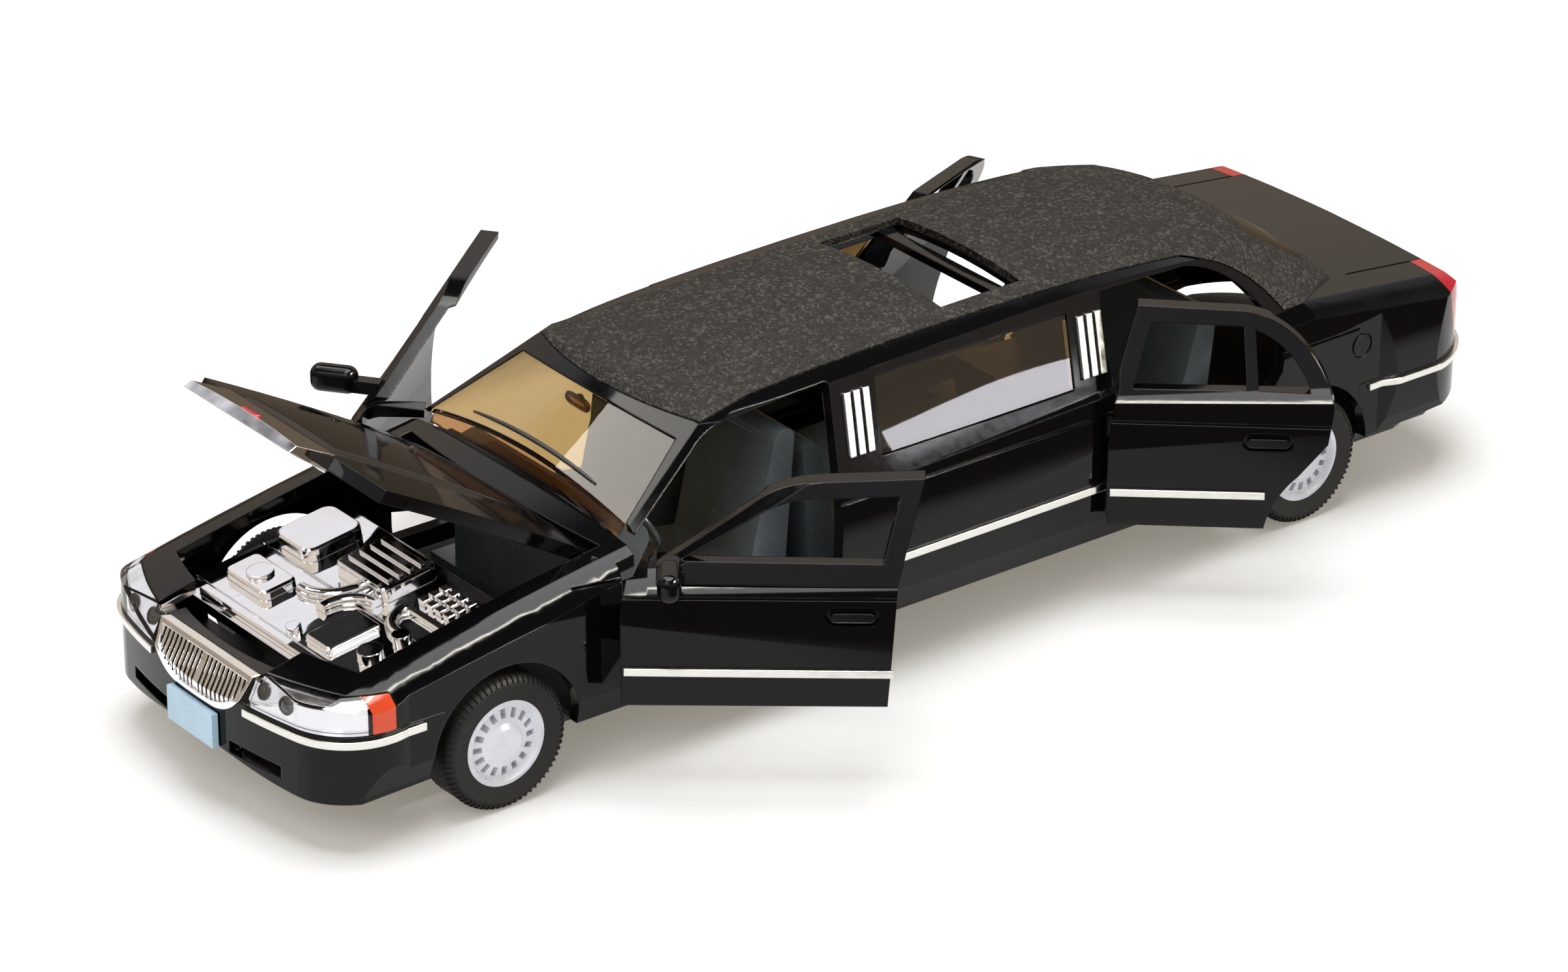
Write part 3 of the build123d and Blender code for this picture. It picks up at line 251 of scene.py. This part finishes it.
def range_node(tree, source, low, high):
    """Zero up to a low value, one from a high value on, and even between them."""
    span = tree.nodes.new("ShaderNodeMapRange")
    span.inputs["From Min"].default_value = low
    span.inputs["From Max"].default_value = high
    tree.links.new(source, span.inputs["Value"])
    return span.outputs["Result"]


def mix_shaders(tree, share, first, second):
    mix = tree.nodes.new("ShaderNodeMixShader")
    tree.links.new(share, mix.inputs["Fac"])
    tree.links.new(first, mix.inputs[1])
    tree.links.new(second, mix.inputs[2])
    return mix.outputs["Shader"]


def bump_node(tree, source, strength, distance_mm, edge_mm=0.0):
    """Normals bumped by a value, and rounded at every sharp edge if a radius is given."""
    bump = tree.nodes.new("ShaderNodeBump")
    bump.inputs["Strength"].default_value = strength
    bump.inputs["Distance"].default_value = distance_mm * MM
    tree.links.new(source, bump.inputs["Height"])
    if edge_mm > 0.0:
        bevel = tree.nodes.new("ShaderNodeBevel")
        bevel.samples = 4
        bevel.inputs["Radius"].default_value = edge_mm * MM
        tree.links.new(bevel.outputs["Normal"], bump.inputs["Normal"])
    return bump.outputs["Normal"]


def gloss_paint():
    """Thick black enamel: clear gloss with a slight orange peel."""
    material, tree, shader = new_material("gloss_black_enamel")
    shader.inputs["Base Color"].default_value = (0.0025, 0.0025, 0.003, 1.0)
    shader.inputs["IOR"].default_value = 1.3
    specks = noise_node(tree, scale=900.0, detail=3.0)
    gloss = ramp_node(tree, specks, [(0.3, 0.05), (0.75, 0.11)])
    tree.links.new(gloss, shader.inputs["Roughness"])
    peel = noise_node(tree, scale=260.0, detail=2.0)
    bump = bump_node(tree, peel, strength=0.08, distance_mm=0.05, edge_mm=0.22)
    tree.links.new(bump, shader.inputs["Normal"])
    return material


def grained_roof():
    """Black leather-like grain: fine pebbles, some of them painted pale as glints off their tops, a
    painted highlight.
    """
    material, tree, shader = new_material("pebbled_black_roof")
    shader.inputs["Specular IOR Level"].default_value = 0.2
    pebbles = tree.nodes.new("ShaderNodeTexVoronoi")
    pebbles.inputs["Scale"].default_value = 2900.0
    tree.links.new(object_coords(tree), pebbles.inputs["Vector"])
    patch_noise = noise_node(tree, scale=500.0, detail=3.0, roughness=0.6)
    chance = tree.nodes.new("ShaderNodeMixRGB")
    chance.inputs["Fac"].default_value = 0.35
    tree.links.new(pebbles.outputs["Color"], chance.inputs["Color1"])
    tree.links.new(patch_noise, chance.inputs["Color2"])
    grey = tree.nodes.new("ShaderNodeRGBToBW")
    tree.links.new(chance.outputs["Color"], grey.inputs["Color"])
    # The palest stop paints pale specks where the pebbles' random tone, mixed with the noise, runs
    # highest: painted glints off the pebble tops.
    stops = [(0.30, (0.004, 0.004, 0.003, 1.0)), (0.50, (0.009, 0.008, 0.007, 1.0)),
             (0.60, (0.018, 0.017, 0.014, 1.0)), (0.74, (0.062, 0.057, 0.048, 1.0))]
    tree.links.new(ramp_node(tree, grey.outputs["Val"], stops), shader.inputs["Base Color"])
    gloss = ramp_node(tree, patch_noise, [(0.3, 0.50), (0.7, 0.68)])
    tree.links.new(gloss, shader.inputs["Roughness"])
    height = math_node(tree, "SUBTRACT", grey.outputs["Val"], pebbles.outputs["Distance"])
    bump = bump_node(tree, height, strength=0.9, distance_mm=0.14)
    tree.links.new(bump, shader.inputs["Normal"])
    return material


def bright_metal(name, colour, low, high, ripple):
    """Plated or foil trim: metal with cloudy gloss and slight ripples."""
    material, tree, shader = new_material(name)
    shader.inputs["Base Color"].default_value = (*colour, 1.0)
    shader.inputs["Metallic"].default_value = 1.0
    cloud = noise_node(tree, scale=700.0, detail=3.0)
    gloss = ramp_node(tree, cloud, [(0.3, low), (0.75, high)])
    tree.links.new(gloss, shader.inputs["Roughness"])
    wave = noise_node(tree, scale=120.0, detail=2.0)
    bump = bump_node(tree, wave, strength=ripple, distance_mm=0.5, edge_mm=0.18)
    tree.links.new(bump, shader.inputs["Normal"])
    return material


def clear_plastic(name, colour, roughness):
    """Clear moulded plastic with a tint."""
    material, tree, shader = new_material(name)
    shader.inputs["Base Color"].default_value = (*colour, 1.0)
    shader.inputs["Transmission Weight"].default_value = 1.0
    shader.inputs["IOR"].default_value = 1.45
    cloud = noise_node(tree, scale=40.0, detail=1.0)
    gloss = ramp_node(tree, cloud, [(0.3, roughness), (0.75, roughness * 1.5)])
    tree.links.new(gloss, shader.inputs["Roughness"])
    wave = noise_node(tree, scale=45.0, detail=0.0)
    bump = bump_node(tree, wave, strength=0.06, distance_mm=0.5)
    tree.links.new(bump, shader.inputs["Normal"])
    return material


def moulded_plastic(name, colour, low, high, grain, shine=0.5):
    """Satin moulded plastic with a fine grain and slight cloudiness."""
    material, tree, shader = new_material(name)
    shader.inputs["Specular IOR Level"].default_value = shine
    cloud = noise_node(tree, scale=160.0, detail=4.0)
    dark = tuple(value * 0.85 for value in colour) + (1.0,)
    pale = tuple(min(1.0, value * 1.08) for value in colour) + (1.0,)
    tone = ramp_node(tree, cloud, [(0.3, dark), (0.7, pale)])
    tree.links.new(tone, shader.inputs["Base Color"])
    fine = noise_node(tree, scale=2600.0, detail=3.0)
    gloss = ramp_node(tree, fine, [(0.3, low), (0.7, high)])
    tree.links.new(gloss, shader.inputs["Roughness"])
    bump = bump_node(tree, fine, strength=grain, distance_mm=0.05)
    tree.links.new(bump, shader.inputs["Normal"])
    return material


# Metal and plastic: name, colour, least and most roughness, ripple or grain, shine
# Clear plastic: name, colour, roughness
MATERIALS = {
    "black_paint": gloss_paint(),
    "roof_grain": grained_roof(),
    "chrome": bright_metal("bright_chrome", (0.90, 0.90, 0.91), 0.02, 0.06, 0.35),
    "trim_silver": bright_metal("silver_foil", (0.76, 0.76, 0.72), 0.14, 0.28, 0.25),
    "amber_glass": clear_plastic("amber_clear", (0.46, 0.31, 0.125), 0.012),
    "clear_lens": clear_plastic("clear_lens", (0.97, 0.98, 1.0), 0.02),
    "orange_lens": moulded_plastic("orange_lens", (0.72, 0.07, 0.02), 0.08, 0.16, 0.05),
    "red_lens": moulded_plastic("red_lens", (0.45, 0.012, 0.02), 0.06, 0.14, 0.05),
    "grey_plastic": moulded_plastic("grey_cabin_plastic", (0.10, 0.12, 0.13), 0.20, 0.28, 0.03),
    "silver_plastic": moulded_plastic("silver_wheel_plastic", (0.72, 0.74, 0.80), 0.24, 0.38, 0.10),
    "tyre": moulded_plastic("tyre_rubber", (0.009, 0.0085, 0.008), 0.50, 0.68, 0.35, 0.25),
    "black_plastic": moulded_plastic("black_base_plastic", (0.012, 0.012, 0.013), 0.35, 0.5, 0.25),
    "steel": bright_metal("steel_rod", (0.62, 0.62, 0.62), 0.2, 0.35, 0.2),
    "plate": moulded_plastic("pale_blue_plate", (0.44, 0.62, 0.76), 0.2, 0.3, 0.05),
}
LAMP_SILVER = bright_metal("lamp_silver", (0.84, 0.82, 0.83), 0.12, 0.26, 1.6)
LAMP_DARK = moulded_plastic("lamp_dark", (0.06, 0.055, 0.05), 0.1, 0.2, 0.1)
SMOKED_AMBER = clear_plastic("smoked_amber", (0.42, 0.22, 0.09), 0.03)
DEEP_AMBER = clear_plastic("deep_amber", (0.26, 0.16, 0.06), 0.012)


def dress_nodes():
    """Gives every CAD node the material of its slot, and three of them their own."""
    for row in frame["record"]["subparts"]:
        data = NODES[row["node"]].data
        data.materials.clear()
        data.materials.append(MATERIALS[row["material_slot"]])
    NODES["headlamp_reflectors"].data.materials[0] = LAMP_SILVER
    for side_name in ("left", "right"):
        NODES[f"side_window_{side_name}"].data.materials[0] = DEEP_AMBER


def new_piece(name, points, faces, slot, body, material=None):
    """A scene piece from points in metres, dressed and riding on a body."""
    mesh = bpy.data.meshes.new(name)
    mesh.from_pydata(points, [], faces)
    shape = bmesh.new()
    shape.from_mesh(mesh)
    bmesh.ops.recalc_face_normals(shape, faces=shape.faces)
    shape.to_mesh(mesh)
    shape.free()
    mesh.polygons.foreach_set("use_smooth", [True] * len(mesh.polygons))
    mesh.set_sharp_from_angle(angle=math.radians(SHARP_DEG))
    mesh.materials.append(material or MATERIALS[slot])
    piece = bpy.data.objects.new(name, mesh)
    bpy.context.scene.collection.objects.link(piece)
    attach(piece, body)
    return piece


def surface_of(node):
    """A search tree over a node's mesh, for seating pieces on it."""
    mesh = NODES[node].data
    points = [vertex.co.copy() for vertex in mesh.vertices]
    return BVHTree.FromPolygons(points, [list(face.vertices) for face in mesh.polygons])


def rows_to_faces(rows, across, first=0, closed=True):
    """Faces between rows of points; a closed row runs once round the section."""
    faces = []
    for row in range(rows - 1):
        here = first + row * across
        for column in range(across if closed else across - 1):
            beside = (column + 1) % across
            faces.append((here + column, here + beside, here + across + beside, here + across + column))
    return faces


def end_faces(first, stop, across):
    """The two faces that close the first and the last row of a sweep."""
    return [tuple(range(first, first + across)), tuple(range(stop - across, stop))]


def reach_at(step, steps):
    """From -1 to 1, with the steps close together at both ends."""
    return math.sin(math.pi * (step / (steps - 1) - 0.5))


def rounded_end(reach, least):
    """Share of the full thickness at a place along a bar with full, round ends."""
    return max((1.0 - abs(reach) ** 4) ** 0.25, least)


def swept_bar(centres, sides, ups, widths, heights, around=BAR_AROUND):
    """A bar with an oval section along a line of points."""
    points = []
    for centre, side, up, width, height in zip(centres, sides, ups, widths, heights):
        for step in range(around):
            turn = 2.0 * math.pi * step / around
            across = side * (width / 2 * math.cos(turn))
            points.append(centre + across + up * (height / 2 * math.sin(turn)))
    faces = rows_to_faces(len(centres), around) + end_faces(0, len(points), around)
    return points, faces


def make_wiper():
    """The wiper moulded along the foot of the windscreen."""
    glass = surface_of("windscreen")
    centres, sides, ups, widths, heights = [], [], [], [], []
    for step in range(WIPER_STEPS):
        share = step / (WIPER_STEPS - 1)
        y = WIPER_ENDS_Y[0] + share * (WIPER_ENDS_Y[1] - WIPER_ENDS_Y[0])
        hit, normal, _, _ = glass.ray_cast(Vector((WIPER_X, y, RAY_ABOVE)) * MM, -UP)
        arch = math.sin(math.pi * (WIPER_TIP + (1.0 - 2.0 * WIPER_TIP) * share))
        swell = WIPER_END_SHARE + (1.0 - WIPER_END_SHARE) * arch ** WIPER_FULLNESS
        centres.append(hit + normal * (WIPER_HEIGHT * WIPER_SEAT_SHARE * MM))
        sides.append(normal.cross(ALONG_Y).normalized())
        ups.append(normal)
        widths.append(WIPER_WIDTH * swell * MM)
        heights.append(WIPER_HEIGHT * swell * MM)
    points, faces = swept_bar(centres, sides, ups, widths, heights)
    new_piece("wiper", points, faces, "black_plastic", "body")


def make_screen_foot():
    """The windscreen's foot: amber plastic from its cut edge down to the scuttle."""
    shell = surface_of("body_shell")
    glass = surface_of("windscreen")
    places = [vertex.co for vertex in NODES["windscreen"].data.vertices]
    front = max(place.x for place in places)
    edge_x = front - SCREEN_EDGE_NEAR * MM
    half = max(abs(place.y) for place in places if place.x > edge_x) - SCREEN_FOOT_INSET * MM
    foot_x = front + SCREEN_FOOT_FORWARD * MM
    thick = SCREEN_FOOT_THICK * MM
    points = []
    for step in range(SCREEN_FOOT_STEPS):
        y = half * (2.0 * step / (SCREEN_FOOT_STEPS - 1) - 1.0)
        top = glass.ray_cast(Vector((edge_x, y, 0.0)), UP)[0].z + SCREEN_FOOT_LAP * MM
        hit = shell.ray_cast(Vector((foot_x, y, top)), -UP)[0]
        low = hit.z - SCREEN_FOOT_SUNK * MM if hit else top - SCREEN_FOOT_DROP * MM
        points += [Vector((front - thick, y, top)), Vector((front, y, top)),
                   Vector((foot_x, y, low)), Vector((foot_x - thick, y, low))]
    faces = rows_to_faces(SCREEN_FOOT_STEPS, 4) + end_faces(0, len(points), 4)
    new_piece("windscreen_foot", points, faces, "amber_glass", "body", SMOKED_AMBER)


def make_mirror():
    """The inside mirror: a rounded pod on a stem that meets the windscreen."""
    glass = surface_of("windscreen")
    centre = Vector(MIRROR_CENTRE) * MM
    deep, wide, tall = [value * MM for value in MIRROR_SIZE]
    centres, widths, heights = [], [], []
    for step in range(MIRROR_STEPS):
        reach = reach_at(step, MIRROR_STEPS)
        full = rounded_end(reach, MIRROR_END_SHARE)
        centres.append(centre + ALONG_Y * (reach * wide / 2))
        widths.append(deep * full)
        heights.append(tall * full)
    sides, ups = [ALONG_X] * MIRROR_STEPS, [UP] * MIRROR_STEPS
    points, faces = swept_bar(centres, sides, ups, widths, heights, MIRROR_AROUND)
    new_piece("inside_mirror", points, faces, "amber_glass", "body", SMOKED_AMBER)
    way = Vector(MIRROR_STEM_WAY)
    foot = Vector((centre.x, MIRROR_STEM_Y * MM, centre.z + tall * MIRROR_STEM_START))
    top = glass.ray_cast(foot, way)[0]
    stem = [foot.lerp(top, share) for share, _ in MIRROR_STEM_WIDTHS]
    widths = [width * MM for _, width in MIRROR_STEM_WIDTHS]
    heights = [MIRROR_STEM_THICK * MM] * len(stem)
    sides, ups = [ALONG_Y] * len(stem), [Vector((way.z, 0.0, -way.x))] * len(stem)
    points, faces = swept_bar(stem, sides, ups, widths, heights)
    new_piece("inside_mirror_stem", points, faces, "amber_glass", "body", SMOKED_AMBER)


def make_bulbs():
    """Two bulb cups in each headlamp: a dark ring round a small dome."""
    reflector = surface_of("headlamp_reflectors")
    for side_name, side in (("left", 1.0), ("right", -1.0)):
        points, faces = [], []
        for bulb_y in BULB_YS:
            eye = Vector((RAY_AHEAD, side * bulb_y, BULB_Z)) * MM
            hit, normal, _, _ = reflector.ray_cast(eye, -ALONG_X)
            across = normal.cross(UP).normalized()
            upward = across.cross(normal)
            first = len(points)
            for radius, height in BULB_CUP:
                for step in range(BULB_AROUND):
                    turn = 2.0 * math.pi * step / BULB_AROUND
                    spoke = across * math.cos(turn) + upward * math.sin(turn)
                    points.append(hit + (spoke * radius + normal * height) * (BULB_R * MM))
            faces += rows_to_faces(len(BULB_CUP), BULB_AROUND, first)
            faces += end_faces(first, len(points), BULB_AROUND)
        new_piece(f"headlamp_bulbs_{side_name}", points, faces, "black_plastic", "body", LAMP_DARK)


def raised_bonnet(point, is_direction=False):
    """A closed bonnet's point, in millimetres, or a direction, swung up with it."""
    turn = math.radians(BONNET_OPEN_DEG)
    off_x, off_z = (0.0, 0.0) if is_direction else BONNET_HINGE
    x, z = point[0] - off_x, point[2] - off_z
    swung_x = off_x + x * math.cos(turn) - z * math.sin(turn)
    swung_z = off_z + x * math.sin(turn) + z * math.cos(turn)
    return Vector((swung_x, point[1], swung_z))


def make_header_mark():
    """A plain red bar set in the middle of the bright header."""
    header = surface_of("bonnet_header")
    outward = raised_bonnet(MARK_FACING, True)
    eye = (raised_bonnet(MARK_CLOSED) + outward * MARK_RAY_OFF) * MM
    hit, normal, _, _ = header.ray_cast(eye, -outward)
    along = normal.cross(ALONG_Y).normalized()
    centres, heights = [], []
    for step in range(MARK_STEPS):
        reach = reach_at(step, MARK_STEPS)
        centres.append(hit + ALONG_Y * (reach * MARK_WIDTH / 2 * MM))
        heights.append(MARK_HEIGHT * rounded_end(reach, MARK_END_SHARE) * MM)
    sides, ups = [along] * MARK_STEPS, [normal] * MARK_STEPS
    points, faces = swept_bar(centres, sides, ups, heights, [MARK_THICK * MM] * MARK_STEPS)
    new_piece("bonnet_header_mark", points, faces, "red_lens", "bonnet")


def make_bonnet_panel():
    """The bonnet's raised middle, with a crease along each side of it."""
    bonnet = surface_of("bonnet")
    down = raised_bonnet(-UP, True)
    last = PANEL_STEPS - 1
    tops, roots = [], []
    for row in range(PANEL_STEPS):
        along = row / last
        x = PANEL_ENDS_X[0] + along * (PANEL_ENDS_X[1] - PANEL_ENDS_X[0])
        half = PANEL_HALF_WIDTHS[0] + along * (PANEL_HALF_WIDTHS[1] - PANEL_HALF_WIDTHS[0])
        for column in range(PANEL_STEPS):
            across = 2.0 * column / last - 1.0
            eye = raised_bonnet((x, across * half, PANEL_RAY_Z)) * MM
            hit, normal, _, _ = bonnet.ray_cast(eye, down)
            from_side = (1.0 - abs(across)) / PANEL_SLOPE_SHARE
            from_end = min(along, 1.0 - along) / PANEL_END_SHARE
            ease = min(from_side, from_end, 1.0)
            rise = PANEL_RISE * ease * ease * (3.0 - 2.0 * ease)
            tops.append(hit + normal * ((rise - PANEL_EDGE_SUNK) * MM))
            roots.append(hit - normal * (PANEL_SUNK * MM))
    faces = rows_to_faces(PANEL_STEPS, PANEL_STEPS, 0, False)
    faces += rows_to_faces(PANEL_STEPS, PANEL_STEPS, len(tops), False)
    rim = list(range(PANEL_STEPS))
    rim += [row * PANEL_STEPS + last for row in range(1, PANEL_STEPS)]
    rim += [last * PANEL_STEPS + column for column in range(last - 1, -1, -1)]
    rim += [row * PANEL_STEPS for row in range(last - 1, 0, -1)]
    for here, beside in zip(rim, rim[1:] + rim[:1]):
        faces.append((here, beside, beside + len(tops), here + len(tops)))
    new_piece("bonnet_raised_middle", tops + roots, faces, "black_paint", "bonnet")


def tread_rib(centre, radius, face_y, inward, turn):
    """The points of one rib, four to a row, bent over the tyre's shoulder."""
    out = Vector((math.cos(turn), 0.0, math.sin(turn)))
    foot_side = Vector((-math.sin(turn), 0.0, math.cos(turn))) * (TREAD_RIB_WIDTH / 2 * MM)
    crest_side = foot_side * TREAD_CREST_SHARE
    points = []
    for step in range(TREAD_STEPS):
        bend = math.pi / 2 * (TREAD_BEND_START + TREAD_BEND_SPAN * step / (TREAD_STEPS - 1))
        y = face_y + inward * SHOULDER_WIDE * MM * (1.0 - math.cos(bend))
        reach = radius - SHOULDER_DEEP * MM * (1.0 - math.sin(bend))
        outside = Vector((0.0, -inward, 0.0)) * math.cos(bend) + out * math.sin(bend)
        seat = Vector((centre[0], y, centre[2])) + out * reach
        foot = seat - outside * (TREAD_RIB_SUNK * MM)
        crest = seat + outside * (TREAD_RIB_PROUD * MM * math.cos(bend) ** 0.5)
        points += [foot - foot_side, crest - crest_side, crest + crest_side, foot + foot_side]
    return points


def make_treads():
    """Fine ribs round both shoulders of each tyre."""
    for end in ("front", "rear"):
        for side_name in ("left", "right"):
            low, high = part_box(f"{end}_tyre_{side_name}")
            centre = [(low[axis] + high[axis]) / 2 for axis in range(3)]
            radius = (high[0] - low[0]) / 2
            points, faces = [], []
            # Columns: the face's place along Y, and which way is inwards from it
            for face_y, inward in ((low[1], 1.0), (high[1], -1.0)):
                for rib in range(TREAD_RIBS):
                    first = len(points)
                    turn = 2.0 * math.pi * rib / TREAD_RIBS
                    points += tread_rib(centre, radius, face_y, inward, turn)
                    faces += rows_to_faces(TREAD_STEPS, 4, first) + end_faces(first, len(points), 4)
            new_piece(f"{end}_tread_{side_name}", points, faces, "tyre", f"{end}_axle_set")


def seen_ray(tree, kinds=("Is Camera Ray", "Is Glossy Ray", "Is Transmission Ray")):
    """One where a ray of these kinds lands."""
    path = tree.nodes.new("ShaderNodeLightPath")
    total = path.outputs[kinds[0]]
    for kind in kinds[1:]:
        total = math_node(tree, "MAXIMUM", total, path.outputs[kind])
    return total


def mirrored_beyond(tree):
    """One where a mirrored ray meets the ground past the white part."""
    place = split_node(tree, object_coords(tree))
    past = []
    for axis, half in zip("XY", GROUND_HALF):
        size = math_node(tree, "ABSOLUTE", place[axis])
        past.append(range_node(tree, size, half - GROUND_FADE / 2, half + GROUND_FADE / 2))
    farthest = math_node(tree, "MAXIMUM", *past)
    return math_node(tree, "MULTIPLY", farthest, seen_ray(tree, ("Is Glossy Ray",)))


def make_floor():
    """A white floor that glows a little to the eye, and is brown in far mirrors."""
    bpy.ops.mesh.primitive_plane_add(size=FLOOR_SIZE, location=(0.0, 0.0, FLOOR_Z))
    floor = bpy.context.object
    floor.name = "floor"
    material, tree, shader = new_material("pale_floor")
    shader.inputs["Base Color"].default_value = FLOOR_COLOUR
    shader.inputs["Roughness"].default_value = 0.9
    shader.inputs["Specular IOR Level"].default_value = 0.1
    distance = tree.nodes.new("ShaderNodeVectorMath")
    distance.operation = "LENGTH"
    tree.links.new(object_coords(tree), distance.inputs[0])
    far = range_node(tree, distance.outputs["Value"], *FLOOR_FADE)
    glow = tree.nodes.new("ShaderNodeEmission")
    tint = ramp_node(tree, far, [(0.0, FLOOR_GLOW), (1.0, PLAIN_WHITE)])
    tree.links.new(tint, glow.inputs["Color"])
    most = ramp_node(tree, far, [(0.0, FLOOR_GLOW_SHARE), (1.0, 1.0)])
    share = math_node(tree, "MULTIPLY", most, seen_ray(tree))
    near = mix_shaders(tree, share, shader.outputs["BSDF"], glow.outputs["Emission"])
    beyond = tree.nodes.new("ShaderNodeEmission")
    beyond.inputs["Color"].default_value = GROUND_BEYOND
    ground = mix_shaders(tree, mirrored_beyond(tree), near, beyond.outputs["Emission"])
    tree.links.new(ground, tree.nodes["Material Output"].inputs["Surface"])
    floor.data.materials.append(material)


def make_world():
    """A pale band of sky under a dim top; seen straight or through glass it is white."""
    world = bpy.data.worlds.new("studio")
    bpy.context.scene.world = world
    world.use_nodes = True
    tree = world.node_tree
    background = tree.nodes["Background"]
    coords = tree.nodes.new("ShaderNodeTexCoord")
    sky = ramp_node(tree, split_node(tree, coords.outputs["Generated"])["Z"], SKY_STOPS)
    mix = tree.nodes.new("ShaderNodeMixRGB")
    mix.inputs["Color2"].default_value = PLAIN_WHITE
    tree.links.new(seen_ray(tree, ("Is Camera Ray", "Is Transmission Ray")), mix.inputs["Fac"])
    tree.links.new(sky, mix.inputs["Color1"])
    tree.links.new(mix.outputs["Color"], background.inputs["Color"])
    background.inputs["Strength"].default_value = 1.0


def make_lamps(rows, cards):
    """Area lamps from a table; a card lights nothing and is only mirrored."""
    for name, place, aim, size, watts, colour in rows:
        data = bpy.data.lights.new(name, "AREA")
        data.shape = "RECTANGLE"
        data.size, data.size_y = size
        data.energy = watts
        data.color = colour
        lamp = bpy.data.objects.new(name, data)
        bpy.context.scene.collection.objects.link(lamp)
        lamp.location = place
        lamp.visible_camera = False
        lamp.visible_diffuse = not cards
        lamp.visible_transmission = not cards
        look_at(lamp, aim)


bpy.context.scene.view_settings.view_transform = "Standard"
make_camera()
make_floor()
make_world()
make_lamps(LAMPS, False)
make_lamps(CARDS, True)
dress_nodes()
make_wiper()
make_screen_foot()
make_mirror()
make_bulbs()
make_header_mark()
make_bonnet_panel()
make_treads()
